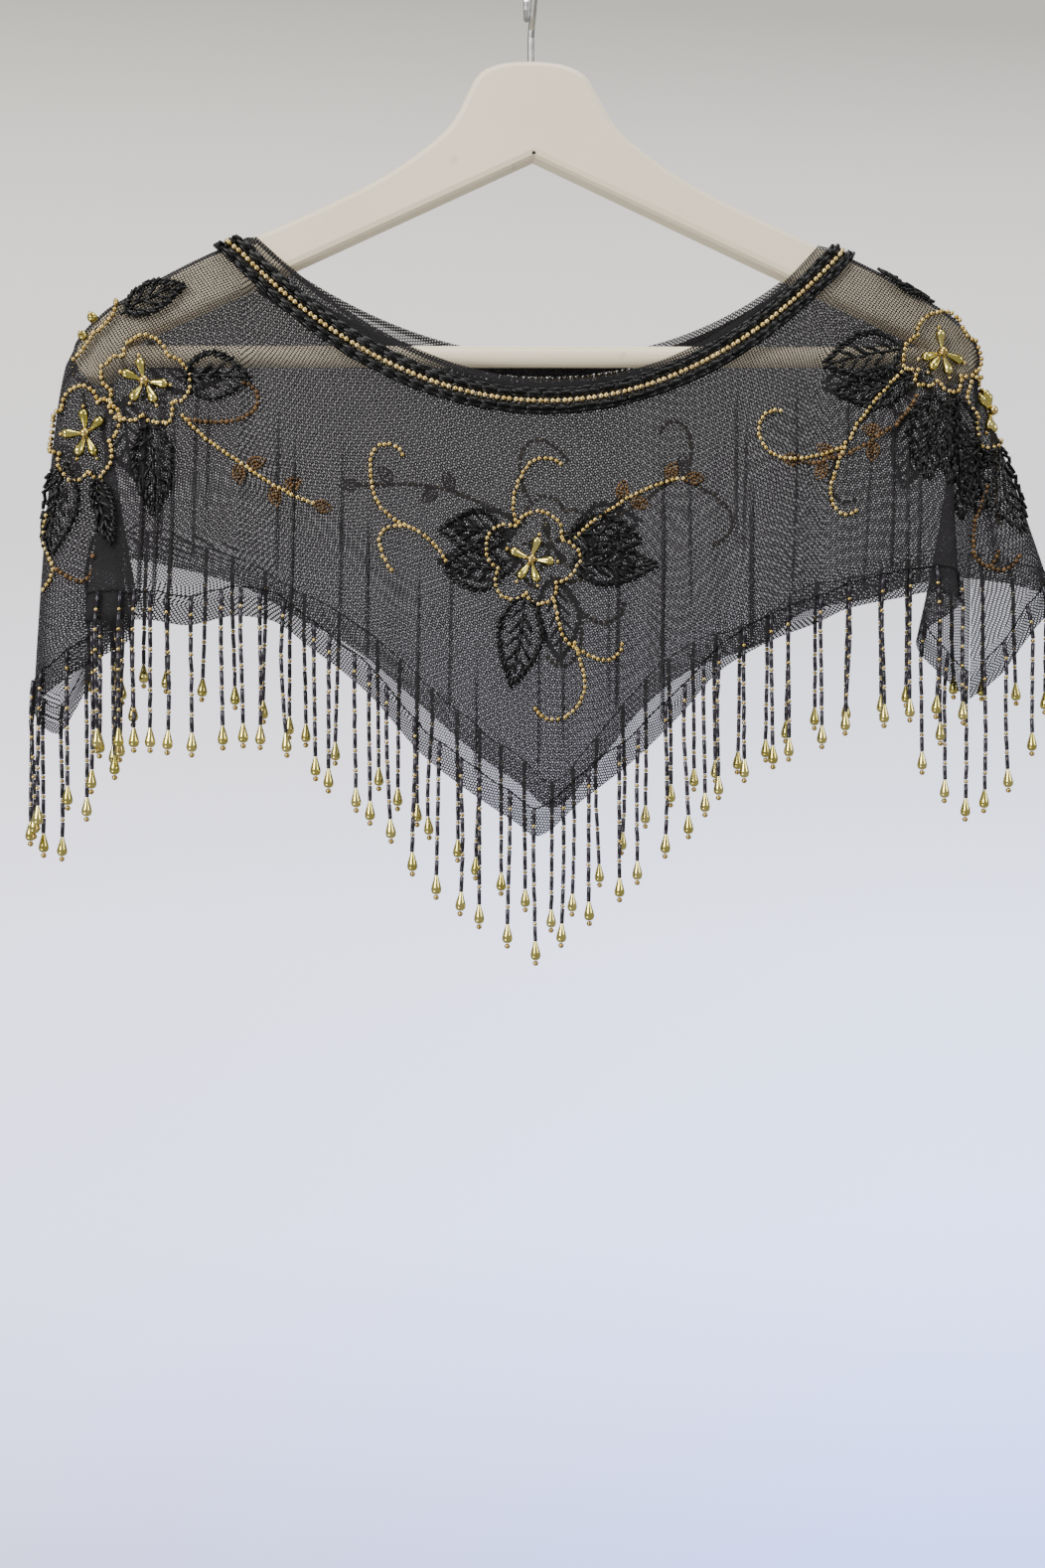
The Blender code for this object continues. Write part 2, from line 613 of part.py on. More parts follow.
def fringe(name, panel, grid, normals, surface):
    """A narrow tape on the thread line with its bead strands in one piece."""
    thread, edge, out, reach = hem_samples(panel, grid, normals)

    def at(distance):
        i = max(k for k in range(len(reach) - 1) if reach[k] <= distance or k == 0)
        t = (distance - reach[i]) / (reach[i + 1] - reach[i])
        return [line[i].lerp(line[i + 1], t) for line in (thread, edge, out)]

    def level(direction):
        return Vector((direction.x, direction.y, 0)).normalized()

    def column(distance):
        place, below, away = at(distance)
        fall = (below - place).normalized()
        near = NET_WALL / 2 + LAY_GAP
        far = near + TAPE_THICK
        return [place - fall * TAPE_HALF + away * near, place - fall * TAPE_HALF + away * far,
                place + fall * TAPE_HALF + away * far, place + fall * TAPE_HALF + away * near]

    # Strands stand a pitch apart, shifted a little each, and none where a fold leaves no room
    strands, feet = [], []
    count = int((reach[-1] - 8) / STRAND_PITCH)
    for k in range(count + 1):
        distance = 4 + (reach[-1] - 8) * k / count + 1.6 * math.sin(2.4 * k)
        distance = min(max(distance, 3.0), reach[-1] - 3.0)
        place, below, away = at(distance)
        foot = below + level(away) * (NET_WALL / 2 + STRAND_OUT)
        if all((Vector((foot.x, foot.y)) - other).length > STRAND_CLEAR for other in feet):
            feet.append(Vector((foot.x, foot.y)))
            strands.append((distance, foot, level(away), place.z))
    marks = [0.0, reach[-1]] + [r for r in reach[1:-1]
                                if all(abs(r - s[0]) > STRAND_HALF + 0.5 for s in strands)]
    marks += [s[0] + sign * STRAND_HALF for s in strands for sign in (-1, 1)]
    marks.sort()
    shape = bmesh.new()
    rings = [[shape.verts.new(p) for p in column(m)] for m in marks]
    heads = {s[0]: s for s in strands}
    for a, b, left, right in zip(rings, rings[1:], marks, marks[1:]):
        for k in (0, 1, 3):
            shape.faces.new((a[k], b[k], b[(k + 1) % 4], a[(k + 1) % 4]))
        head = [s for d, s in heads.items() if abs((left + right) / 2 - d) < 0.01]
        if not head:
            shape.faces.new((a[2], b[2], b[3], a[3]))
            continue
        _, foot, away, top = head[0]
        beside = Vector((-away.y, away.x, 0))
        if beside.dot(b[2].co - a[2].co) < 0:
            beside = -beside
        ring = [a[2], b[2], b[3], a[3]]
        levels = [(EDGE_DROP + 1.0, STRAND_HALF)] + [(depth, half) for _, depth, half in STRAND_FORM]
        for depth, half in levels:
            centre = Vector((foot.x, foot.y, top - depth))
            corners = [centre - beside * half + away * half, centre + beside * half + away * half,
                       centre + beside * half - away * half, centre - beside * half - away * half]
            lower = [shape.verts.new(c) for c in corners]
            for k in range(4):
                shape.faces.new((ring[k], ring[(k + 1) % 4], lower[(k + 1) % 4], lower[k]))
            ring = lower
        shape.faces.new(ring)
    shape.faces.new(rings[0])
    shape.faces.new(rings[-1])
    return finish(name, shape, surface)


def flower(tree, aim, angle, turn, rise):
    """Five teardrop beads round a centre bead, fused into one low form that lies just off the net."""
    across = eye(angle)[0]
    place, normal = laid(tree, aim, angle)
    across = (across - normal * across.dot(normal)).normalized()
    up = normal.cross(across)
    if up.z < 0:
        up = -up
    shape = bmesh.new()
    frame = Matrix((across, up, normal)).transposed().to_4x4()
    frame.translation = place + normal * (rise + FLOWER_HIGH / 2)
    bmesh.ops.create_cone(shape, cap_ends=True, segments=2 * PETALS, radius1=BEAD_R, radius2=BEAD_R,
                          depth=FLOWER_HIGH)
    bmesh.ops.rotate(shape, verts=shape.verts, cent=(0, 0, 0),
                     matrix=Matrix.Rotation(math.radians(turn + 18), 3, "Z"))
    sides = [f for f in shape.faces if abs(f.normal.z) < 0.5]
    sides.sort(key=lambda f: math.atan2(f.calc_center_median().y, f.calc_center_median().x))
    for petal in sides[::2]:
        out = petal.normal.copy()
        tip = petal
        for reach, size in PETAL_STEPS:
            tip = bmesh.ops.extrude_discrete_faces(shape, faces=[tip])["faces"][0]
            high = size if size < 1 else 1.1
            bmesh.ops.scale(shape, vec=(size, size, high), verts=tip.verts,
                            space=Matrix.Translation(-tip.calc_center_median()))
            bmesh.ops.translate(shape, vec=out * reach, verts=tip.verts)
    bmesh.ops.transform(shape, matrix=frame, verts=shape.verts)
    return shape


def leaf(tree, centre, angle, row, rise):
    """A bead leaf: a thin pointed plate with a raised middle, made from the net's points moved out."""
    across, away = eye(angle)
    root_right, root_up, tip_right, tip_up, half = row
    line = Vector((tip_right - root_right, tip_up - root_up))
    beside = Vector((-line.y, line.x)).normalized()
    low, high = [], []
    for share, width in LEAF_FORM:
        column_low, column_high = [], []
        for lane in (-1, 0, 1):
            flat = Vector((root_right, root_up)) + line * share + beside * half * width * lane
            spot = laid(tree, centre + across * flat.x + Vector((0, 0, flat.y)), angle)[0]
            column_low.append(spot - away * rise)
            column_high.append(spot - away * (rise + LEAF_THICK * (1.0 if lane == 0 else 0.75)))
        low.append(column_low)
        high.append(column_high)
    return wall(low, high)


def build():
    clear_scene()
    paint = material("cream paint", (0.66, 0.61, 0.53), 0.45)
    steel = material("bright steel", (0.6, 0.62, 0.65), 0.25, 1.0)
    net_black = material("black net", (0.02, 0.02, 0.024), 0.8)
    band_gold = material("black and gold band", (0.10, 0.07, 0.03), 0.35, 0.4)
    bead_black = material("black bugle beads", (0.012, 0.012, 0.015), 0.2)
    bead_gold = material("gold beads", (0.62, 0.46, 0.16), 0.25, 1.0)
    hanger_body(paint)
    hanger_bar(paint)
    hanger_hook(steel)
    nets, faces, grids, ways = [], {}, {}, {}
    for side, panel in PANELS.items():
        panel["rise"] = (-153.2 - NECK_LIFT * 141.0 ** 4 - panel["neck_z"]) / 141.0 ** 2
        grids[side] = [net_column(panel, run) for run in panel_runs(panel)]
        ways[side] = grid_normals(grids[side], 1 if side == "back" else -1)
    close_seams(grids["front"], grids["back"], ways["front"], ways["back"])
    for side, panel in PANELS.items():
        grid, normals = grids[side], ways[side]
        outer = moved(grid, normals, NET_WALL / 2)
        shape = wall(moved(grid, normals, -NET_WALL / 2), outer)
        nets.append(BVHTree.FromBMesh(shape))
        finish(f"net_{side}", shape, net_black)
        faces[side] = surface_tree(outer)
        neck_band(f"neck_band_{side}", panel, faces[side], band_gold)
        fringe(f"fringe_{side}", panel, grid, normals, bead_black)
    for name, side, x, y, z, angle, turn in FLOWERS:
        centre = Vector((x, y, z))
        shape = settled(lambda rise: flower(faces[side], centre, angle, turn, rise), nets)
        finish(name, shape, bead_gold, 60)
        for leaf_name, *row in LEAVES:
            if leaf_name[5:-2] == name[7:]:
                finish(leaf_name, settled(lambda rise: leaf(faces[side], centre, angle, row, rise), nets),
                       bead_black)


build()
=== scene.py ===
import math
import random

import bmesh
import bpy
import numpy as np
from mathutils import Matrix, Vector
from mathutils.bvhtree import BVHTree


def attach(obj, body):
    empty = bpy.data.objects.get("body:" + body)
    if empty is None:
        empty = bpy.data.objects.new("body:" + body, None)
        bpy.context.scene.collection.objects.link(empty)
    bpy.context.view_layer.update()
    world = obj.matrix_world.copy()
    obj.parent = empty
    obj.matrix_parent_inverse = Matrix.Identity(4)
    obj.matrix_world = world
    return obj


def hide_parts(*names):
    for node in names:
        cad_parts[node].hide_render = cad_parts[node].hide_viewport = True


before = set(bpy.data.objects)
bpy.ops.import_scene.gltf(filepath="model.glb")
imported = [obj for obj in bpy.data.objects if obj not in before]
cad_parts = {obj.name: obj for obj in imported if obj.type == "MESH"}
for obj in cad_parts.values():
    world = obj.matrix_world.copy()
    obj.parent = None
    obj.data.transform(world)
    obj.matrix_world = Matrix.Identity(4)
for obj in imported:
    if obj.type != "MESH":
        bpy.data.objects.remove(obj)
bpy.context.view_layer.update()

# Sizes are millimetres until a piece is finished; a finished piece is in metres, as the solids are.
MM = 0.001
BODY = "root"

# Hanger, as its solids
WOOD_TOP = -59.0
# Small screw hole under the notch, metres: no hole is cut, a dark spot of painted shade stands for it
SCREW = (0.0008, -0.007, -0.1034)
HANG_ROLL = math.radians(1.5)
# Upper edge of an arm from the end of the neck to its tip, on the level hanger
ARM = ((120, -138.0), (134, -144.3), (165, -158.6), (195, -175.5), (203, -181.2), (209.8, -187.8),
       (214.5, -194.5), (216, -200))

# Cloth, as its solids
NET_WALL = 1.1
SEAM_GAP = 0.3
ARM_GAP = 0.35
NECK_X = 2.0
NECK_LIFT = 1.2e-8
NECK_EDGE = 10.6
NECK_RUNS = {-1: 138.5, 1: 144.0}
NECK_CROSS = {-1: 135.0, 1: 140.5}
CROSS_WIDTH = 4.0
BAND_TURN = {-1: (138.5, 144.0), 1: (142.5, 147.5)}
SHOULDER_RUN = 148.0
WRAP_RUN = 232.0
SIDE_RUN = 242.0
EDGE_DROP = 13.0
# The fall swings out evenly, or later where the hem lies near the middle of the cape's depth: from
# SWING_DEPTH on, fully SWING_BLEND nearer, but not farther aside than SWING_X
SWING_OUT = 1.0
SWING_IN = 1.8
SWING_DEPTH = 11.0
SWING_BLEND = 4.0
SWING_X = 214
# The middle of the band passes the arms this far from the middle of the neck and under the rail
NECK_SIDE_X = 141.0
NECK_SIDE_Z = -153.2
# The neck edge stands farther past the band on the left than on the right
NECK_SKEW = 2.0
SKEW_RUN = 60
NECK_DROPS = (0.0, 1.6, 3.2, 5.0)
# The net's way over an arm, seen along the arm: height above its edge, depth from its middle
BESIDE_ARM = 7.95
OVER_ARM = ((ARM_GAP + NET_WALL / 2, SEAM_GAP / 2), (ARM_GAP + NET_WALL / 2, 5.6), (0.1, 7.6),
            (-1.9, BESIDE_ARM), (-9.0, BESIDE_ARM))
OVER_STOPS = (0.0, 5.45, 7.6, 9.6)

# The thread line of the fringe below each place on the upper edge.
# run: distance along the upper edge from its middle; x, y, z: the thread line; ease: how the fall spreads
FRONT_HEM = (
    (-242.0, -231.0, -0.15, -355.0, 0.45),
    (-238.5, -227.5, -6.0, -351.0, 0.45),
    (-235.0, -217.0, -8.0, -342.0, 0.5),
    (-231.0, -203.0, -4.2, -332.0, 0.6),
    (-227.0, -191.5, -3.2, -324.0, 1.6),
    (-223.5, -187.5, -7.2, -320.0, 1.6),
    (-220.0, -192.0, -11.2, -318.0, 1.6),
    (-216.0, -201.0, -12.0, -316.5, 1.6),
    (-213.0, -204.5, -14.6, -315.5, 1.6),
    (-210.0, -201.0, -17.3, -315.0, 1.6),
    (-205.0, -192.0, -17.5, -314.5, 1.6),
    (-189.0, -177.0, -16.5, -314.5, 1.2),
    (-172.0, -161.0, -14.5, -316.6, 1.2),
    (-146.0, -137.0, -16.0, -312.2, 1.2),
    (-131.0, -123.0, -15.5, -313.8, 1.2),
    (-109.0, -103.0, -13.5, -326.9, 1.2),
    (-82.0, -77.4, -16.0, -347.4, 1.2),
    (-56.0, -52.5, -13.0, -375.4, 1.2),
    (-32.0, -29.8, -16.0, -393.4, 1.2),
    (-8.0, -7.4, -14.0, -408.3, 1.2),
    (0.0, 0.6, -14.0, -413.9, 1.2),
    (23.0, 22.2, -17.0, -397.1, 1.2),
    (50.0, 47.8, -13.0, -377.9, 1.2),
    (74.0, 69.7, -17.0, -356.1, 1.2),
    (94.0, 88.9, -13.5, -335.7, 1.2),
    (121.0, 115.4, -16.5, -320.3, 1.2),
    (146.0, 137.3, -14.5, -312.0, 1.2),
    (161.0, 151.0, -15.5, -305.6, 1.2),
    (189.0, 177.4, -16.5, -300.0, 1.2),
    (205.0, 192.0, -17.3, -297.5, 1.6),
    (210.0, 202.0, -17.3, -299.0, 1.6),
    (213.5, 206.0, -14.6, -302.0, 1.6),
    (217.0, 202.5, -12.0, -307.0, 1.6),
    (221.0, 195.0, -11.2, -313.0, 1.6),
    (224.5, 190.5, -7.2, -319.0, 1.6),
    (228.0, 194.0, -3.2, -326.0, 1.6),
    (232.5, 204.0, -3.2, -337.0, 1.0),
    (242.0, 214.85, -5.0, -348.0, 0.9),
)
BACK_HEM = (
    (-242.0, -231.0, 0.15, -355.0, 0.45),
    (-239.5, -229.5, 5.0, -361.0, 0.45),
    (-236.5, -222.0, 9.0, -366.0, 0.45),
    (-233.5, -213.0, 8.0, -353.0, 0.5),
    (-231.0, -204.0, 4.2, -335.0, 0.6),
    (-227.0, -192.5, 3.2, -310.0, 1.6),
    (-223.5, -188.5, 7.2, -299.0, 1.6),
    (-220.0, -193.0, 11.2, -292.0, 1.6),
    (-216.0, -202.0, 12.0, -288.0, 1.6),
    (-213.0, -205.5, 14.6, -285.0, 1.6),
    (-210.0, -202.0, 17.3, -283.0, 1.6),
    (-205.0, -193.0, 17.5, -282.0, 1.6),
    (-182.0, -171.0, 15.0, -285.6, 1.2),
    (-149.0, -140.0, 16.5, -293.6, 1.2),
    (-115.0, -109.0, 14.0, -310.3, 1.2),
    (-87.0, -82.4, 16.0, -324.8, 1.2),
    (-57.0, -54.2, 13.5, -349.0, 1.2),
    (-26.0, -24.4, 16.0, -374.8, 1.2),
    (-2.0, -1.6, 14.0, -391.1, 1.2),
    (12.0, 11.5, 14.5, -401.3, 1.2),
    (39.0, 37.5, 16.5, -376.0, 1.2),
    (59.0, 55.7, 13.5, -353.1, 1.2),
    (87.0, 81.9, 16.0, -332.9, 1.2),
    (123.0, 116.4, 14.0, -319.8, 1.2),
    (150.0, 140.5, 16.0, -303.3, 1.2),
    (186.0, 174.0, 14.5, -296.4, 1.2),
    (205.0, 195.0, 16.5, -289.5, 1.6),
    (214.0, 216.0, 15.0, -286.0, 1.0),
    (222.0, 236.0, 14.5, -288.0, 0.95),
    (227.0, 251.0, 11.5, -292.0, 0.88),
    (231.0, 257.5, 5.0, -296.5, 0.85),
    (234.5, 254.0, -3.0, -302.0, 0.95),
    (237.5, 242.5, -8.5, -315.0, 1.0),
    (240.0, 228.0, -8.0, -337.0, 1.0),
    (242.0, 215.15, -5.0, -348.0, 1.0),
)
PANELS = {
    "front": {"face": -1, "hem": FRONT_HEM, "neck_z": -221.7, "neck_y": 9.4, "grain": math.radians(3)},
    "back": {"face": 1, "hem": BACK_HEM, "neck_z": -206.5, "neck_y": 8.6, "grain": math.radians(-21)},
}

# Net as it looks: real thickness, mesh of the weave, places of the rows from the upper edge down
NET_THICK = 0.28
CELL = 1.45
UPPER_STOPS = (0, 0.33, 0.66, 1, 1.25, 1.5, 1.75, 2, 2.5, 3)
FALL_ROWS = 30
EDGE_STOPS = (0.3, 0.65, 1.0)
# Columns of the net: in the neck, from its ends to the shoulders, and along each side. A crease with a
# smaller half width than SHARP_HALF is sharp and has columns of its own; columns that crowd are left out
NECK_COLUMNS = 113
ARM_COLUMNS = {-1: 6, 1: 4}
SIDE_COLUMNS = 84
SHARP_HALF = 2
CREASE_REACH = 2.4
CREASE_STEP = 0.4
LEAST_STEP = 0.22
# A place between the two panels, under the middle of the neck
INSIDE = (2, 0, -330)
# Thread of the net: half its width in cells, the haze left in its holes, how far rows stray in metres
THREAD_HALF = 0.153
NET_HAZE = 0.27
STRAY = 0.0009
# How much thicker the net looks in its first rows at the neck, where it fades in towards the left over
# COVER_FADE from COVER_START, and along the raw hem
NECK_COVER = {"front": 0.75, "back": 0.5}
NECK_ROWS = 7
COVER_START = -10
COVER_FADE = 30
HEM_COVER = 0.15

# Creases that hang in the net. run: place along the upper edge; start, end: shares of the fall;
# half: half width; height: out of the cape where positive; lean: how far it drifts sideways on its way down
# Each row: run, start, end, half, height, lean
CREASES = {
    "front": (
        (-84, 0.50, 1.0, 0.55, 1.6, 1.0), (-59, 0.55, 1.02, 0.5, 2.2, 0.5),
        (13.5, 0.62, 0.98, 0.45, 2.0, 0.0), (36, 0.55, 0.98, 0.5, 1.9, 0.5),
        (64, 0.22, 1.04, 0.6, 2.6, 0.4), (77, 0.30, 0.92, 0.55, 1.8, 1.5),
        (101, 0.18, 0.9, 0.6, 2.2, 0.5), (109, 0.5, 1.04, 0.8, 3.0, 0.0),
        (-120, 0.45, 1.0, 0.6, 1.5, 0.0), (132, 0.3, 0.85, 0.5, 1.3, 0.0),
        (-30, 0.7, 1.03, 0.5, 1.4, 0.0), (158, 0.25, 0.8, 0.6, 1.4, 0.0),
        (-100, 0.2, 1.0, 7.0, 1.3, 0.0), (-45, 0.35, 1.04, 8.0, -1.2, 3.0),
        (-8, 0.4, 1.04, 6.0, 1.0, -2.0), (52, 0.25, 1.04, 7.0, -1.5, 2.0),
        (90, 0.15, 1.0, 6.0, 1.6, 1.0), (122, 0.3, 1.04, 7.0, -1.2, 0.0),
        (-150, 0.2, 1.0, 5.0, 1.0, 0.0), (175, 0.3, 1.0, 5.0, 1.0, 0.0),
        (-163, 0.4, 0.95, 0.6, 1.4, 0.5), (-180, 0.3, 1.0, 0.6, 1.8, 0.5),
        (-187, 0.22, 1.04, 0.7, 2.3, 0.0), (-195, 0.3, 1.04, 0.8, 2.6, 0.6),
        (183, 0.3, 1.0, 0.6, 1.6, 0.0), (191, 0.25, 1.04, 0.7, 2.1, 0.3),
        (198, 0.3, 1.04, 0.8, 2.4, 0.0),
    ),
    "back": (
        (-96, 0.4, 1.0, 0.55, 1.8, 0.5), (-40, 0.5, 1.02, 0.5, 2.0, 0.0), (5, 0.6, 1.0, 0.5, 1.7, 0.5),
        (46, 0.35, 1.0, 0.6, 2.3, 0.0), (71, 0.5, 1.04, 0.5, 1.8, -0.5), (112, 0.3, 0.95, 0.6, 2.0, 0.0),
        (-128, 0.4, 1.0, 0.6, 1.6, 0.0), (141, 0.5, 1.0, 0.5, 1.5, 0.0),
        (-75, 0.25, 1.04, 7.0, 1.4, 2.0), (-20, 0.4, 1.04, 8.0, -1.3, 0.0),
        (25, 0.3, 1.04, 6.0, 1.2, 1.0), (60, 0.2, 1.04, 7.0, -1.4, 0.0), (100, 0.3, 1.0, 6.0, 1.5, 1.0),
        (-150, 0.3, 1.0, 6.0, 1.2, 0.0), (165, 0.3, 1.0, 6.0, -1.1, 0.0),
        (-171, 0.3, 1.04, 0.6, 1.8, 0.0), (-188, 0.25, 1.0, 0.7, 2.2, 0.5),
        (-197, 0.35, 1.04, 0.8, 2.2, 0.0), (181, 0.3, 1.04, 0.6, 1.9, 0.0),
        (195, 0.25, 1.0, 0.7, 2.0, 0.4), (222, 0.3, 1.04, 0.8, -2.4, 0.0),
    ),
}

# Fringe: run of each strand along the upper edge
STRANDS = {
    "front": (
        -241, -238, -234.5, -231.5, -228.5, -221, -217, -209, -203, -196.5, -188, -181, -169, -154,
        -144.5, -135.5, -124, -108.5, -100.5, -88.5, -81.5, -73.5, -60, -47.5, -37, -28, -12.5, -1, 14,
        26, 41.5, 52, 66, 75.5, 85, 93.5, 105.5, 118, 127, 146, 161, 178.5, 193, 206, 212, 219, 227, 233,
        241,
    ),
    "back": (
        -241, -238.5, -236, -232.5, -229, -224.5, -219.5, -213, -206, -195, -182, -164, -151, -134.5,
        -120.5, -113.5, -96, -77, -65.5, -56.5, -49, -36, -25, -14, -2, 13, 24, 36, 49.5, 62, 75, 88,
        99.5, 112.5, 126.5, 140, 155.5, 173, 190, 203, 213, 219, 224, 229, 233, 235.5, 237.5, 239.5, 241,
    ),
}
# A strand from its top down: bead, its length
STRAND = (("bugle", 7.1), ("seed", 2.05)) * 6 + (("bugle", 7.1), ("drop", 8.9), ("end", 2.7))
BUGLE_R = 0.98
STRAND_OUT = 1.35
STRAND_TOP = 0.4
SWAY_WAVE = 19.0
SWAY_DEPTH = 25.0
THREAD_STEP = 1.6
# Teardrop from its top down: radius, depth
DROP_FORM = ((0.0, 0.0), (0.75, 0.1), (1.0, 0.9), (1.45, 2.6), (2.0, 4.4), (2.38, 6.0), (2.4, 7.0),
             (2.0, 8.1), (1.1, 8.75), (0.0, 8.9))

# Neck band: distances of its rows of bugles from the row of pearls, the one with a second layer, the
# pitch of the bugles, height and half pitch of the pearls, and the steps of the band's middle line
BAND_ROWS = (-5.3, -4.2, -2.3, 2.3, 4.2, 5.3)
DOUBLE_ROW = 4.2
BAND_BUGLE = 7.0
PEARL_RISE = 1.75
PEARL_HALF = 1.45
BAND_STEP = 4.5
# Depth of the band's places: across the neck, where it nears an arm, beside the arm and over its top
BAND_DEPTH = 12.0
BAND_LOW = 9.0
BAND_CORNER = 7.6
BAND_TOP = (SEAM_GAP / 2 + 0.9, 3.2, 5.4, 6.6)

# Beaded motifs. seen_from: compass angle of the eye about Z, 0 in front, -90 at the viewer's left;
# petals: the way each teardrop points, anticlockwise from the eye's right; size: of the five-lobed outline;
# round: degrees that the eye turns for each millimetre to its right, where a flower bends round an arm;
# narrow: its width as a share of its height
FLOWERS = (
    # name, panel, x, y, z, seen_from, petals, size, round, narrow
    ("centre_front", "front", -1.3, -12.0, -296.9, 0.0, (-76, -4, 72, 157, 236), 22.6, 0.0, 1.0),
    ("centre_back", "back", 11.0, 12.0, -286.0, 180.0, (-70, 2, 76, 150, 228), 22.6, 0.0, 1.0),
    ("left_front", "front", -179.7, -12.0, -217.7, 0.0, (-62, -6, 104, 160, 236), 21.4, 0.0, 0.93),
    ("left_side", "front", -205.5, -6.0, -241.5, -26.0, (-112, -62, 33, 96, 182), 23.0, 0.9, 0.72),
    ("left_back", "back", -196.5, 12.0, -204.0, 180.0, (-80, -8, 66, 138, 212), 20.5, 0.0, 1.0),
    ("right_front", "front", 199.0, -12.0, -193.5, 0.0, (-74, -20, 96, 197, 234), 20.5, 0.0, 1.0),
    ("right_side", "back", 233.0, 3.0, -216.0, 36.0, (-112, -40, 32, 88, 150), 20.0, 1.5, 1.0),
    ("right_back", "back", 196.0, 12.0, -200.0, 180.0, (-60, 12, 84, 156, 228), 20.5, 0.0, 1.0),
)
BEAD_R = 2.45
SEED_R = 1.27
SEED_PITCH = 2.62
SEED_RISE = 1.55
# Distances from the middle of a flower to the top and foot of a teardrop and the seed beyond it. Where
# top and foot would be farther apart than PETAL_LONGEST, the teardrop follows the eye's view instead
PETAL_ROOT = 2.6
PETAL_FOOT = 11.0
PETAL_TIP = 12.6
PETAL_LONGEST = 14
# Outline of a flower: points of each lobe, and how deep its notches are as a share of its size
LOBE_STEPS = 24
NOTCH = 0.27
# First number of the random draws of each kind of bead work
DRAWS = {"flower": 100, "leaves": 200, "vines": 300, "band": 400, "fringe": 500, "thread": 600}
# Rays towards the cloth start this far in front of it
EYE_BACK = 300
# A bead lies on cloth that is no farther than this from its place in front of its flower's eye
OWN_CLOTH = 24.0

# Leaves of each flower as its eye sees them, from its centre: root and tip, right and up
LEAVES = {
    # root right, root up, tip right, tip up, half width
    "centre_front": (
        (-14.1, 10.9, -42.2, 13.4, 9.5), (-13.7, -5.6, -41.2, -4.6, 10.0), (18.8, 11.9, 52.3, 9.9, 9.0),
        (19.8, -2.6, 59.3, -1.6, 9.0), (-3.3, -18.1, -9.0, -58.6, 10.0),
    ),
    "centre_back": (
        (-15.0, 8.0, -43.0, 12.0, 9.5), (-15.0, -7.0, -41.0, -10.0, 10.0), (17.0, 8.0, 49.0, 10.0, 9.0),
        (17.0, -8.0, 53.0, -9.0, 9.0), (-1.0, -18.0, -5.0, -56.0, 10.0),
    ),
    "left_front": (
        (19.7, 3.2, 51.0, 2.4, 10.5), (3.1, -20.3, 4.9, -60.3, 9.5), (-9.3, 33.2, 18.7, 45.2, 6.5),
    ),
    "left_side": (
        (-11.0, -16.0, -17.0, -56.0, 10.0), (5.0, -20.0, 19.0, -51.0, 7.0),
    ),
    "left_back": (
        (-18.5, -1.0, -49.5, -5.0, 10.0), (-4.0, -18.0, -9.0, -52.0, 9.5),
    ),
    "right_front": (
        (-21.0, 1.5, -58.1, -7.5, 10.5), (-17.5, -13.5, -53.0, -20.5, 9.0),
        (-5.0, -21.5, -9.0, -62.5, 9.5), (-4.4, 29.0, -29.0, 41.6, 3.0), (8.2, -22.0, 16.5, -72.0, 9.0),
        (3.0, -24.0, 2.0, -62.0, 6.5), (9.0, -42.0, 11.0, -79.0, 5.5),
    ),
    "right_side": (
        (0.5, -18.5, 4.0, -60.0, 9.0), (-12.0, -16.0, -11.0, -52.0, 8.0),
    ),
    "right_back": (
        (18.0, -1.0, 49.0, -5.0, 10.0), (3.0, -19.0, 7.0, -54.0, 9.5),
    ),
}
# Half width of a leaf along its length, then the pitches of its edge and veins, the length of the bugles
# of midrib and veins, and half the stretch of cloth that a bugle is laid along
LEAF_FORM = ((0.0, 0.2), (0.12, 0.66), (0.3, 0.98), (0.5, 1.0), (0.72, 0.7), (0.9, 0.28), (1.0, 0.04))
EDGE_PITCH = 2.35
VEIN_PITCH = 6.6
LEAF_BUGLE = 7.4
STICK_HALF = 2.2

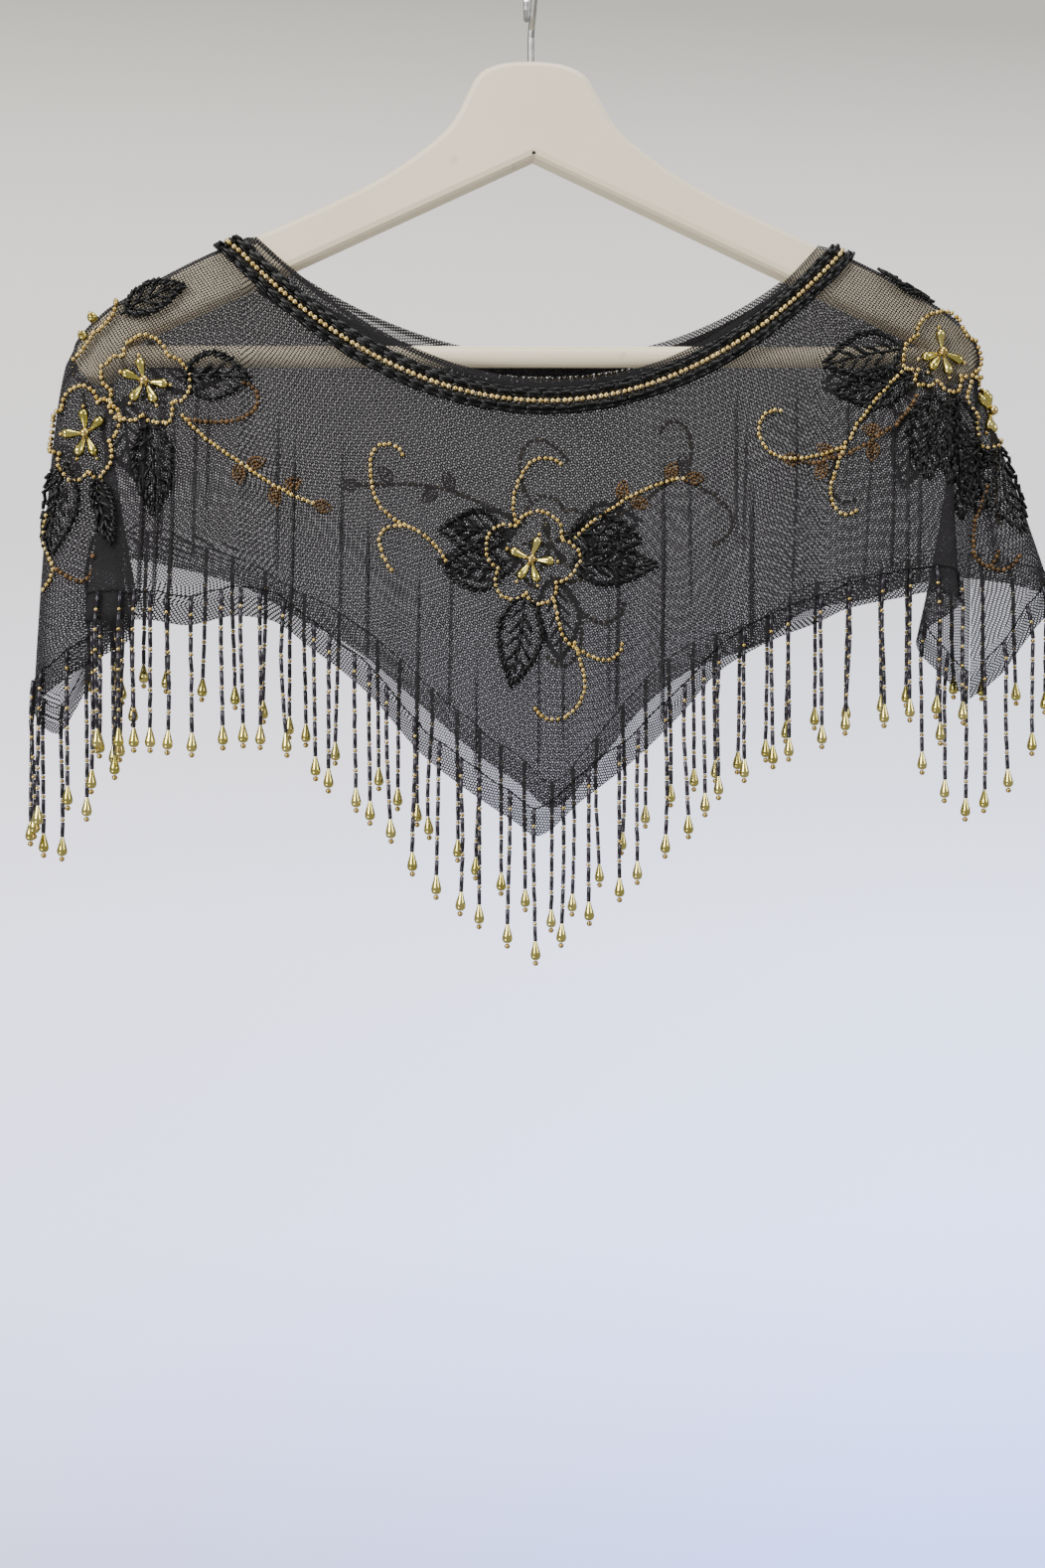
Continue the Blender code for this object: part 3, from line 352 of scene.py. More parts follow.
# Vines of each flower, as its eye sees them. Each starts at right, up with a heading and goes on in
# arcs of a length and a turn to the left; leaflets: share of its length and the side they stand on
VINES = {
    # bead, right, up, heading, arcs, leaflets
    "centre_front": (
        ("gold", -7.4, 18.7, 112, ((12, -35), (14, -20), (20, -100)), ()),
        ("gold", 20.8, 10.3, 50, ((12, -12), (16, -5), (26, -18), (7, -10)),
         ((0.46, 1), (0.54, -1), (0.86, 1), (1.0, 0))),
        ("gold", -40.2, -1.1, 115, ((24, 45), (12, -20), (14, -40), (14, -15), (20, -150)), ()),
        ("gold", -59.0, 15.0, 180, ((7, 10), (12, 95), (15, 25)), ()),
        ("gold", 10.9, -19.8, -80, ((14, 5), (10, 40), (14, 20), (16, 105)), ()),
        ("gold", 20.3, -39.4, -74, ((14, 0), (14, -40), (15, -55), (14, -85)), ()),
    ),
    "centre_back": (
        ("gold", 10.3, 21.0, 58, ((13, 22), (11, 25), (8, 50), (8, 52), (14, 30)), ()),
        ("gold", 19.0, 12.0, 36, ((12, -12), (16, -5), (26, -18), (22, -4)),
         ((0.42, 1), (0.5, -1), (0.8, 1), (1.0, 0))),
        ("gold", -15.2, 8.5, 168, ((30, -22), (16, 0), (12, 0)), ((0.3, -1), (0.98, -1))),
        ("gold", -66.9, 33.0, 106, ((10, -5), (12, -25), (8, -49), (8, -66), (5, -48)), ()),
        ("gold", -67.5, 32.3, 203, ((14, 3), (10, 25), (9, 40), (8, 48), (8, 25)), ()),
        ("gold", -6.4, -20.4, -121, ((12, -10), (10, -18), (8, -45), (13, -75)), ()),
        ("gold", -16.0, -32.2, -92, ((14, 8), (10, 25), (8, 60), (9, 70)), ()),
    ),
    "left_front": (
        ("gold", 18.2, -15.3, -46, ((22, 12), (24, 2), (14, 8), (16, 6)),
         ((0.45, -1), (0.5, 1), (0.72, -1), (0.78, 1), (1.0, 0))),
        ("bronze", 22.0, -17.0, -10, ((17, 12), (15, 35), (9, 70), (10, 70)), ()),
    ),
    "left_back": (
        ("gold", -16.0, 12.0, 140, ((16, 20), (14, -40), (12, -100)), ()),
        ("gold", 14.0, -16.0, -100, ((18, 20), (14, 30), (12, -40)), ((0.6, 1), (0.7, -1), (1.0, 0))),
    ),
    "right_front": (
        ("gold", -18.7, -8.8, 221, ((34, 14), (22, 12), (14, 10), (10, 40), (12, 95)), ()),
        ("gold", -50.6, -47.5, 205, ((26, -22), (14, -50), (13, -60), (13, -85)), ()),
    ),
    "right_side": (
        ("gold", 12.0, -14.0, -60, ((14, -20), (16, 10), (12, -70)), ()),
    ),
    "right_back": (
        ("gold", 17.0, -10.0, -40, ((26, -14), (20, -12), (14, -60), (12, -90)), ()),
        ("gold", -14.0, -14.0, -120, ((20, -10), (16, -30), (12, -100)), ((0.6, 1), (1.0, 0))),
    ),
}
# Leaflet: length, half width, degrees from the vine, rows of seeds
LEAFLET = (9.5, 2.6)
LEAFLET_TURN = 48
LEAFLET_ROWS = 7
# Vines that follow points instead of arcs. The first is the outline of the left back flower where it
# comes over the arm, and the drops after this table stand on it
TRAILS = {
    # bead, points right and up, leaflets
    "left_front": (
        ("gold", ((-14.8, 38.6), (-14.2, 36.0), (-16.2, 30.4), (-19.6, 26.6), (-23.2, 23.4),
         (-26.1, 21.6), (-27.0, 19.4), (-30.0, 14.8), (-32.6, 12.2), (-34.6, 9.8), (-35.2, 7.6)), ()),
        ("gold", ((-47.6, -61.3), (-49.0, -66.8), (-49.2, -72.9), (-47.6, -79.0), (-45.3, -83.6),
         (-44.8, -87.4), (-47.4, -92.8), (-50.8, -97.5)), ()),
        ("bronze", ((-42.8, -86.2), (-37.6, -89.7), (-32.3, -91.5), (-27.8, -89.1), (-24.8, -83.7),
         (-23.3, -79.1)), ()),
    ),
    "right_front": (
        ("bronze", ((-13.4, -22.0), (-20.0, -31.8), (-30.0, -40.1), (-41.6, -47.6), (-53.1, -51.9),
         (-64.6, -55.3), (-70.0, -54.8)), ((0.36, -1), (0.42, 1), (0.68, -1), (0.74, 1), (1.0, 0))),
        ("bronze", ((26.1, -63.0), (23.2, -71.2), (18.6, -81.1), (17.3, -89.4), (18.1, -95.9),
         (21.5, -100.0), (26.6, -103.2), (32.6, -104.2), (37.7, -101.4), (41.5, -95.6)), ()),
        ("bronze", ((30.9, -95.4), (28.8, -99.0), (27.1, -102.3)), ()),
    ),
}
# Drops of the left back flower, beside the left front one: right, up, the way that they point. Then the
# y of their middles, and how far their tops and end seeds lie from there
SHOULDER_DROPS = {"left_front": ((-24.2, 30.2, 118), (-28.4, 21.6, 150))}
SHOULDER_Y = -6.5
SHOULDER_TOP = 6.4
SHOULDER_END = 3.4

# Room, in metres
WALL_Y = 1.9
FLOOR_Z = -1.9
CURVE_R = 0.3
ROOM_SIZE = (9.0, 7.0, 5.5)
ROOM_SIDES = (-0.75, 0.85)
# The room's walls glow with painted light: graded by height, darker towards the top and bluer to the lower
# right
WALL_GLOW = 4.0
WALL_LOW = -1.72
WALL_HIGH = 0.9
# Height share, painted light colour at the left, painted light colour at the right
WALL_PAINTED_LIGHT = (
    (0.0, (0.33, 0.33, 0.48), (0.31, 0.40, 0.85)),
    (0.13, (0.45, 0.47, 0.70), (0.45, 0.53, 0.98)),
    (0.22, (0.52, 0.53, 0.74), (0.53, 0.62, 1.0)),
    (0.40, (0.53, 0.53, 0.64), (0.54, 0.59, 0.80)),
    (0.51, (0.46, 0.45, 0.50), (0.46, 0.47, 0.56)),
    (0.65, (0.375, 0.358, 0.368), (0.36, 0.36, 0.38)),
    (0.82, (0.345, 0.335, 0.31), (0.34, 0.33, 0.32)),
    (0.90, (0.29, 0.278, 0.258), (0.285, 0.278, 0.265)),
    (1.0, (0.175, 0.168, 0.148), (0.17, 0.166, 0.152)),
)

# Camera, as the photograph was taken, and the grey of the light from all round
EYE = (-0.0845, -0.7654, -0.4023)
EYE_YAW = 6.0
LENS = 37.0
FILM = 36.0
AMBIENT = 0.42

# Soft lamps: place, point that they face, width, watts, colour
LAMPS = (
    ((-1.3, -1.4, 0.5), (0.0, 0.0, -0.25), 0.9, 42.0, (1.0, 0.98, 0.95)),
    ((1.5, -1.1, 0.4), (0.0, 0.0, -0.25), 0.7, 12.0, (0.95, 0.97, 1.0)),
    ((0.2, -0.5, 1.5), (0.0, 0.0, -0.2), 0.9, 20.0, (1.0, 1.0, 1.0)),
    ((0.3, 1.3, 0.9), (0.0, 0.0, -0.2), 0.9, 8.0, (1.0, 1.0, 1.0)),
    ((-1.2, -0.9, -1.3), (0.0, 0.0, -0.2), 0.6, 12.0, (1.0, 1.0, 1.0)),
)


class Wire:
    """A socket of a material's nodes; sums written on it add Math nodes."""

    def __init__(self, finish, socket):
        self.finish, self.socket = finish, socket

    def math(self, operation, *values):
        return self.finish.node("ShaderNodeMath", {"operation": operation}, dict(enumerate(values)))

    def __add__(self, other):
        return self.math("ADD", self, other)

    def __sub__(self, other):
        return self.math("SUBTRACT", self, other)

    def __rsub__(self, other):
        return self.math("SUBTRACT", other, self)

    def __mul__(self, other):
        return self.math("MULTIPLY", self, other)

    def __mod__(self, other):
        return self.math("FLOORED_MODULO", self, other)

    def __abs__(self):
        return self.math("ABSOLUTE", self)

    __radd__ = __add__
    __rmul__ = __mul__


class Finish:
    """A material and the nodes that are added to it."""

    def __init__(self, name, **even):
        self.material = bpy.data.materials.new(name)
        self.material.use_nodes = True
        self.tree = self.material.node_tree
        self.shader = self.tree.nodes["Principled BSDF"]
        for socket, value in even.items():
            self.shader.inputs[socket.replace("_", " ")].default_value = value

    def node(self, kind, settings=None, sockets=None, out=0):
        made = self.tree.nodes.new(kind)
        for name, value in (settings or {}).items():
            if name == "stops":
                ramp = made.color_ramp.elements
                while len(ramp) < len(value):
                    ramp.new(0.5)
                for stop, (place, colour) in zip(ramp, value):
                    stop.position, stop.color = place, (*colour, 1.0)
            else:
                setattr(made, name, value)
        for name, value in (sockets or {}).items():
            self.join(made.inputs[name], value)
        return Wire(self, made.outputs[out])

    def join(self, socket, value):
        if isinstance(value, Wire):
            self.tree.links.new(value.socket, socket)
        else:
            socket.default_value = value

    def feed(self, **sockets):
        for name, value in sockets.items():
            self.join(self.shader.inputs[name.replace("_", " ")], value)

    def places(self):
        return self.node("ShaderNodeTexCoord", out="Object")

    def noise(self, vector, scale, detail=2.0, out="Fac"):
        sockets = {"Vector": vector, "Scale": scale, "Detail": detail}
        return self.node("ShaderNodeTexNoise", None, sockets, out)

    def range(self, value, low, high, to_low, to_high, way="LINEAR"):
        sockets = {"Value": value, "From Min": low, "From Max": high, "To Min": to_low, "To Max": to_high}
        return self.node("ShaderNodeMapRange", {"interpolation_type": way}, sockets, "Result")

    def blend(self, share, first, second):
        settings = {"data_type": "RGBA"}
        sockets = {0: share, 6: (*first, 1.0) if isinstance(first, tuple) else first,
                   7: (*second, 1.0) if isinstance(second, tuple) else second}
        return self.node("ShaderNodeMix", settings, sockets, 2)

    def bump(self, height, strength, distance):
        sockets = {"Height": height, "Strength": strength, "Distance": distance}
        return self.node("ShaderNodeBump", None, sockets, "Normal")


def net_finish():
    """Black hexagonal net: the holes are cut through the thin cloth in rows of hexagons."""
    net = Finish("black net", Roughness=0.9, Specular_IOR_Level=0.1)
    cloth = net.node("ShaderNodeUVMap", {"uv_map": "weave"})
    stray = net.noise(cloth, 90.0, 1.0, "Color")
    split = {"Vector": net.node("ShaderNodeVectorMath", {"operation": "MULTIPLY_ADD"},
                                {0: stray, 1: (STRAY, STRAY, 0.0), 2: cloth})}
    across = net.node("ShaderNodeSeparateXYZ", None, split, "X") * (1 / (CELL * MM))
    down = net.node("ShaderNodeSeparateXYZ", None, split, "Y") * (1 / (CELL * MM))
    row = math.sqrt(3)
    reach = []
    for shift in (0.0, 0.5):
        side = abs((across + shift) % 1.0 - 0.5)
        rise = abs((down + shift * row) % row - row / 2)
        reach.append(side.math("MAXIMUM", side, side * 0.5 + rise * (row / 2)))
    to_thread = 0.5 - reach[0].math("MINIMUM", *reach)
    cover = net.node("ShaderNodeAttribute", {"attribute_name": "cover"}, None, "Fac")
    half = cover * 0.3 + THREAD_HALF
    share = net.range(to_thread.math("SUBTRACT", to_thread, half), -0.03, 0.03, 1.0, NET_HAZE)
    tone = net.noise(net.places(), 60.0)
    net.feed(Alpha=share, Base_Color=net.blend(tone, (0.013, 0.012, 0.013), (0.026, 0.025, 0.027)))
    return net.material


def bead_finish(name, dark, light, roughness, metallic, gloss=0.6):
    """Small beads, each in its own tone between a dark and a light one."""
    bead = Finish(name, Metallic=metallic, Specular_IOR_Level=gloss)
    tone = bead.node("ShaderNodeAttribute", {"attribute_name": "tone"}, None, "Fac")
    spots = bead.noise(bead.places(), 900.0)
    colour = bead.blend(tone * 0.8 + spots * 0.2, dark, light)
    bead.feed(Base_Color=colour, Roughness=bead.range(spots, 0.3, 0.7, roughness * 0.75, roughness * 1.3))
    return bead.material


def paint_finish(name, tint):
    """Cream paint over wood: faint brush strokes along the arms, small worn spots and dust, and a dark spot
    of painted shade at the screw hole.
    """
    paint = Finish(name, Specular_IOR_Level=0.45, Coat_Weight=0.08, Coat_Roughness=0.35)
    spread = paint.node("ShaderNodeMapping", None, {"Vector": paint.places(), "Scale": (0.25, 1.0, 1.0)})
    strokes = paint.noise(spread, 160.0, 4.0)
    cloud = paint.noise(paint.places(), 14.0, 3.0)
    worn = paint.range(paint.noise(paint.places(), 75.0, 5.0), 0.68, 0.74, 0.0, 1.0)
    # Painted shade: the screw hole is a near-black spot in the paint's colour, not a hole in the wood
    apart = paint.node("ShaderNodeVectorMath", {"operation": "DISTANCE"},
                       {0: paint.places(), 1: SCREW}, "Value")
    hole_shade = paint.range(apart, 0.0010, 0.0014, 1.0, 0.0)
    clean = paint.blend(cloud, tuple(c * 0.93 for c in tint), tuple(min(1.0, c * 1.05) for c in tint))
    marked = paint.blend(worn * 0.35, clean, (0.42, 0.36, 0.28))
    paint.feed(Base_Color=paint.blend(hole_shade, marked, (0.02, 0.018, 0.015)),
               Roughness=paint.range(cloud + worn, 0.3, 1.5, 0.38, 0.6),
               Normal=paint.bump(strokes * 0.6 + worn * -0.4, 0.25, 0.0004))
    return paint.material


def steel_finish():
    """Plated wire: bright on the hook, duller and a little stained on the shank."""
    steel = Finish("plated wire", Metallic=1.0)
    place = steel.places()
    height = steel.node("ShaderNodeSeparateXYZ", None, {"Vector": place}, "Z")
    dull = steel.range(height, -0.05, -0.03, 1.0, 0.0)
    stain = steel.noise(place, 220.0, 4.0)
    drawn = steel.noise(steel.node("ShaderNodeMapping", None, {"Vector": place, "Scale": (1.0, 1.0, 0.06)}),
                        2600.0)
    steel.feed(Base_Color=steel.blend(dull * 0.6 + stain * 0.3, (0.62, 0.62, 0.61), (0.22, 0.21, 0.2)),
               Roughness=dull * 0.22 + stain * 0.18 + 0.2,
               Normal=steel.bump(drawn, 0.15, 0.0001))
    return steel.material


def show(name, data):
    """A new object of the scene."""
    made = bpy.data.objects.new(name, data)
    bpy.context.scene.collection.objects.link(made)
    return made


def as_mesh(name, shape):
    """A finished form as a smooth mesh."""
    mesh = bpy.data.meshes.new(name)
    shape.to_mesh(mesh)
    shape.free()
    mesh.shade_smooth()
    return mesh


def way_at(degrees):
    """Direction in the eye's view at an angle from its right."""
    angle = math.radians(degrees)
    return Vector((math.cos(angle), math.sin(angle)))


def turned(way, angle):
    """A direction in the eye's view, turned to the left."""
    turn_c, turn_s = math.cos(angle), math.sin(angle)
    return Vector((way.x * turn_c - way.y * turn_s, way.x * turn_s + way.y * turn_c))


def catmull(points, steps):
    """A smooth line through the points, with the given number of steps in each stretch."""
    line = []
    last = len(points) - 1
    for i in range(last):
        p0, p1, p2, p3 = (Vector(points[max(0, min(last, k))]) for k in (i - 1, i, i + 1, i + 2))
        for j in range(steps):
            t = j / steps
            line.append(0.5 * (2 * p1 + (p2 - p0) * t + (2 * p0 - 5 * p1 + 4 * p2 - p3) * t ** 2
                               + (3 * p1 - p0 - 3 * p2 + p3) * t ** 3))
    line.append(Vector(points[last]))
    return line


def slopes(rows, column):
    """Slopes of a curve through a table column that never swings past its rows."""
    steps = [(b[column] - a[column]) / (b[0] - a[0]) for a, b in zip(rows, rows[1:])]
    found = [steps[0]]
    for left, right in zip(steps, steps[1:]):
        found.append(2 * left * right / (left + right) if left * right > 0 else 0.0)
    return found + [steps[-1]]


def read_table(rows, where):
    """Every column of a table at a place between its rows."""
    i = max(k for k in range(len(rows) - 1) if k == 0 or rows[k][0] <= where)
    width = rows[i + 1][0] - rows[i][0]
    t = (where - rows[i][0]) / width
    values = []
    for column in range(1, len(rows[0])):
        bend = slopes(rows, column)
        a, b = rows[i][column], rows[i + 1][column]
        values.append((1 + 2 * t) * (1 - t) ** 2 * a + t * (1 - t) ** 2 * width * bend[i]
                      + t * t * (3 - 2 * t) * b + t * t * (t - 1) * width * bend[i + 1])
    return values


def rolled(x, z):
    """A point of the level hanger, as it hangs with its left arm a little lower."""
    turn_c, turn_s = math.cos(HANG_ROLL), math.sin(HANG_ROLL)
    return x * turn_c - (z - WOOD_TOP) * turn_s, WOOD_TOP + x * turn_s + (z - WOOD_TOP) * turn_c


ARM_LINE = catmull([(x, z, 0) for x, z in ARM], 6)


def along_arm(distance, side):
    """Point and outward direction on an arm's upper edge, in the hanging position."""
    gone = 0.0
    for a, b in zip(ARM_LINE, ARM_LINE[1:]):
        piece = (b - a).length
        if gone + piece >= distance or b is ARM_LINE[-1]:
            place = a + (b - a) * min(1.0, (distance - gone) / piece)
            place.y -= max(0.0, distance - gone - piece)
            out = Vector(((a - b).y, (b - a).x)).normalized()
            if out.x < 0:
                out = -out
            break
        gone += piece
    x, z = rolled(side * place.x, place.y)
    ax, az = rolled(side * (place.x + out.x), place.y + out.y)
    return Vector((x, 0, z)), Vector((ax - x, 0, az - z))


ARM_LENGTH = sum((b - a).length for a, b in zip(ARM_LINE, ARM_LINE[1:]))


def arm_distance(x):
    """Distance along the arm's upper edge to a place on its straight stretch."""
    return (x - ARM[0][0]) * math.hypot(1.0, (ARM[1][1] - ARM[0][1]) / (ARM[1][0] - ARM[0][0]))


def between(stops, step):
    """Value at a step that may lie between two stops."""
    k = min(int(step), len(stops) - 2)
    return stops[k] + (stops[k + 1] - stops[k]) * (step - k)


def over_arm(reach):
    """Height and depth at a distance from the seam along the way over the arm."""
    for a, b in zip(OVER_ARM, OVER_ARM[1:]):
        piece = math.dist(a, b)
        if reach <= piece or b is OVER_ARM[-1]:
            t = reach / piece
            return a[0] + (b[0] - a[0]) * t, a[1] + (b[1] - a[1]) * t
        reach -= piece


def neck_line(panel, x):
    """Middle of the neck band at a distance x from the middle of the neck, and its slope."""
    z = panel["neck_z"] + panel["rise"] * x * x + NECK_LIFT * x ** 4
    return z, 2 * panel["rise"] * x + 4 * NECK_LIFT * x ** 3


def upper_points(panel, run, steps):
    """The top points of a column of the net: over the arm, or just under the neck edge."""
    face = panel["face"]
    side = 1 if run > 0 else -1
    neck_run = NECK_RUNS[side]
    if abs(run) <= neck_run:
        z, slope = neck_line(panel, run)
        tilt = math.atan(slope)
        depth = face * (panel["neck_y"] - (panel["neck_y"] - BESIDE_ARM) * (run / neck_run) ** 2)
        wide = NECK_EDGE - NECK_SKEW * math.tanh(run / SKEW_RUN) * (1 - (run / neck_run) ** 6)
        edge = Vector((NECK_X + run - wide * math.sin(tilt), depth, z + wide * math.cos(tilt)))
        return [edge + Vector((0, 0, -between(NECK_DROPS, step))) for step in steps]
    first = arm_distance(NECK_CROSS[side])
    cross = min(1.0, (abs(run) - neck_run) / (SHOULDER_RUN - neck_run))
    share = max(0.0, (abs(run) - SHOULDER_RUN) / (SIDE_RUN - SHOULDER_RUN))
    distance = first + CROSS_WIDTH * cross + (ARM_LENGTH - first - CROSS_WIDTH) * share
    wrap = max(0.0, (abs(run) - WRAP_RUN) / (SIDE_RUN - WRAP_RUN)) * math.pi / 2
    flat = math.sqrt(max(0.0, math.cos(wrap)))
    round_off = math.sqrt(math.sin(wrap))
    lift = OVER_ARM[0][0]
    points = []
    for step in steps:
        reach = between(OVER_STOPS, step) * cross + OVER_STOPS[3] * (1 - cross) * (0.9 + 0.2 * step)
        off, depth = over_arm(reach)
        off = off + (lift - off) * round_off
        depth = SEAM_GAP / 2 + (depth - SEAM_GAP / 2) * flat
        place, out = along_arm(distance + 1.6 * step * wrap / (math.pi / 2), side)
        points.append(place + out * off + Vector((0, face * depth, 0)))
    return points


def net_column(panel, run):
    """Middle surface of the net from its upper edge to its raw hem at one place."""
    x, y, z, ease = read_table(panel["hem"], run)
    points = upper_points(panel, run, UPPER_STOPS)
    top = points[-1]
    fall = top.z - z
    inward = min(1.0, max(0.0, (SWING_DEPTH - abs(y)) / SWING_BLEND)) * (abs(x) < SWING_X)
    turn = SWING_OUT + (SWING_IN - SWING_OUT) * inward
    shares = [j / FALL_ROWS for j in range(1, FALL_ROWS + 1)]
    shares += [1 + EDGE_DROP * e / fall for e in EDGE_STOPS]
    for t in shares:
        spread, swing = t ** ease, t ** turn
        if t > 1:
            spread, swing = 1 + ease * (t - 1), 1 + turn * (t - 1)
        points.append(Vector((top.x + (x - top.x) * spread, top.y + (y - top.y) * swing, top.z - fall * t)))
    return points


def net_runs(side):
    """Places of the net's columns: even in the neck, closer at the sides and close beside sharp creases."""
    left, right = NECK_RUNS[-1], NECK_RUNS[1]
    runs = set(np.linspace(-left, right, NECK_COLUMNS))
    runs |= set(np.linspace(right, SHOULDER_RUN, ARM_COLUMNS[1]))
    runs |= set(np.linspace(-SHOULDER_RUN, -left, ARM_COLUMNS[-1]))
    for end in (-1, 1):
        runs |= set(np.linspace(end * SHOULDER_RUN, end * SIDE_RUN, SIDE_COLUMNS))
    for run, _, _, half, _, lean in CREASES[side]:
        if half < SHARP_HALF:
            span = np.arange(-CREASE_REACH, CREASE_REACH + abs(lean), CREASE_STEP)
            runs |= set(run + (span if lean >= 0 else -span))
    kept = []
    for run in sorted(runs):
        if not kept or run - kept[-1] > LEAST_STEP:
            kept.append(float(run))
    kept[-1] = SIDE_RUN
    return kept


def crease_lift(side, run, share):
    """How far the creases push the net out of its fall at one place, and how much closer it lies."""
    lift = close = 0.0
    for middle, start, end, half, height, lean in CREASES[side]:
        if start < share < end:
            along = (share - start) / (end - start)
            rise = math.pi / 2 * min(1.0, along * 2.0)
            fade = math.sin(math.pi * min(1.0, along * 1.25) if end < 1 else rise)
            off = (run - middle - lean * along) / half
            lift += height * fade * math.exp(-off * off) * (1 + 0.18 * math.sin(9 * along + middle))
            close += 0.5 * fade * math.exp(-off * off) if half < SHARP_HALF else 0.0
    return lift, close


def net_surface(side):
    """Grid of points, outward directions and woven distances of one panel."""
    panel = PANELS[side]
    runs = net_runs(side)
    grid = np.array([[tuple(p) for p in net_column(panel, run)] for run in runs])
    high = grid.shape[1]

    def outward(points):
        across, down = np.gradient(points, axis=0), np.gradient(points, axis=1)
        way = np.cross(across, down)
        return way / np.linalg.norm(way, axis=2, keepdims=True) * (-1 if side == "front" else 1)

    first = len(UPPER_STOPS) - 1
    shares = [0.0] * first + [(j - first) / FALL_ROWS for j in range(first, high)]
    creased = np.array([[crease_lift(side, run, share) for share in shares] for run in runs])
    ends = np.minimum(1.0, np.minimum(np.arange(len(runs)), np.arange(len(runs))[::-1]) / 6.0)
    grid = grid + outward(grid) * (creased[:, :, 0] * ends[:, None])[:, :, None]
    across = np.zeros(grid.shape[:2])
    across[1:] = np.cumsum(np.linalg.norm(np.diff(grid, axis=0), axis=2), axis=0)
    across -= across[len(runs) // 2]
    down = np.zeros(grid.shape[:2])
    down[:, 1:] = np.cumsum(np.linalg.norm(np.diff(grid, axis=1), axis=2), axis=1)
    return runs, grid, outward(grid), across, down, creased[:, :, 1]


def finish_piece(name, mesh, materials, nodes):
    """Puts a mesh in the scene as a piece of the cape, with its materials."""
    for material in materials:
        mesh.materials.append(material)
    piece = show(name, mesh)
    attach(piece, BODY)
    if nodes:
        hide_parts(*nodes)
    return piece


def make_net(side, material):
    """The net of one panel as a thin shell with its creases and raw edges."""
    runs, grid, ways, across, down, folds = net_surface(side)
    wide, high = grid.shape[:2]
    turn_c, turn_s = math.cos(PANELS[side]["grain"]), math.sin(PANELS[side]["grain"])
    shape = bmesh.new()
    bmesh.ops.create_grid(shape, x_segments=wide - 1, y_segments=high - 1, size=1.0)
    weave = shape.loops.layers.uv.new("weave")
    cover = shape.verts.layers.float.new("cover")
    for corner in shape.verts:
        i = round((corner.co.x + 1) / 2 * (wide - 1))
        j = round((1 - corner.co.y) / 2 * (high - 1))
        corner.index = i * high + j
        edge = 0.0
        if abs(runs[i]) < NECK_RUNS[1] and j < NECK_ROWS:
            share = min(1.0, max(0.0, (COVER_START - runs[i]) / COVER_FADE))
            edge = NECK_COVER[side] * (0.25 + 0.75 * share) * (0.35 if j < 2 else 1.0)
        elif j >= high - len(EDGE_STOPS):
            edge = HEM_COVER
        corner[cover] = edge + folds[i, j]
    for face in shape.faces:
        for loop in face.loops:
            i, j = divmod(loop.vert.index, high)
            u, v = across[i, j] * MM, -down[i, j] * MM
            loop[weave].uv = (u * turn_c - v * turn_s, u * turn_s + v * turn_c)
    for corner in shape.verts:
        i, j = divmod(corner.index, high)
        corner.co = grid[i, j]
    shape.faces.ensure_lookup_table()
    shape.normal_update()
    middle = min(shape.faces, key=lambda f: (f.calc_center_median() - Vector(INSIDE)).length)
    if middle.normal.y * PANELS[side]["face"] < 0:
        bmesh.ops.reverse_faces(shape, faces=shape.faces)
    tree = BVHTree.FromBMesh(shape)
    bmesh.ops.scale(shape, vec=(MM, MM, MM), verts=shape.verts)
    name = f"net_{side}_cloth"
    net = finish_piece(name, as_mesh(name, shape), [material], [f"net_{side}"])
    shell = net.modifiers.new("thin cloth", "SOLIDIFY")
    shell.thickness = NET_THICK * MM
    shell.offset = 0.0
    net.visible_shadow = False
    net.visible_diffuse = False
    return net, tree, (runs, grid, ways)


def template(build):
    """Points and faces of a small bead that is built once and placed many times."""
    shape = bmesh.new()
    build(shape)
    bmesh.ops.recalc_face_normals(shape, faces=shape.faces)
    shape.verts.ensure_lookup_table()
    points = np.array([tuple(v.co) for v in shape.verts])
    faces = [[v.index for v in f.verts] for f in shape.faces]
    shape.free()
    return points, faces


def bugle(length, radius):
    """A short glass tube along Z with slightly broken rims."""
    def build(shape):
        bmesh.ops.create_cone(shape, cap_ends=True, segments=8, radius1=radius, radius2=radius, depth=length)
        rims = [e for e in shape.edges if abs(e.verts[0].co.z - e.verts[1].co.z) < 0.001]
        bmesh.ops.bevel(shape, geom=rims, offset=0.18 * radius, segments=1, profile=0.5, affect="EDGES",
                        material=-1)
    return template(build)


def ball(radius, flat=1.0, around=10, rings=6):
    """A round bead, flattened a little along its thread."""
    def build(shape):
        bmesh.ops.create_uvsphere(shape, u_segments=around, v_segments=rings, radius=radius)
        bmesh.ops.scale(shape, vec=(1, 1, flat), verts=shape.verts)
    return template(build)


def teardrop(around=12):
    """A bead that is narrow at its top and full at its foot, hanging down from its top."""
    def build(shape):
        line = [shape.verts.new((radius, 0, -depth)) for radius, depth in DROP_FORM]
        edges = [shape.edges.new(pair) for pair in zip(line, line[1:])]
        bmesh.ops.spin(shape, geom=line + edges, cent=(0, 0, 0), axis=(0, 0, 1), angle=2 * math.pi,
                       steps=around, use_merge=True)
        bmesh.ops.remove_doubles(shape, verts=shape.verts, dist=0.01)
    return template(build)


BEADS = {
    "bugle": bugle(7.0, BUGLE_R),
    "leaf bugle": bugle(LEAF_BUGLE, 0.8),
    "edge bugle": bugle(4.4, 0.85),
    "band bugle": bugle(6.9, 1.02),
    "seed": ball(1.12, 0.9, 8, 5),
    "vine seed": ball(SEED_R, 0.95, 8, 6),
    "fine seed": ball(0.85, 0.9, 6, 4),
    "pearl": ball(1.45, 0.95, 10, 6),
    "centre": ball(BEAD_R, 0.95, 16, 10),
    "drop": teardrop(),
    "petal": teardrop(14),
    "end": ball(1.35, 0.95, 10, 6),
    "thread": template(lambda shape: bmesh.ops.create_cone(shape, cap_ends=True, segments=5, radius1=0.34,
                                                           radius2=0.34, depth=1.0)),
}


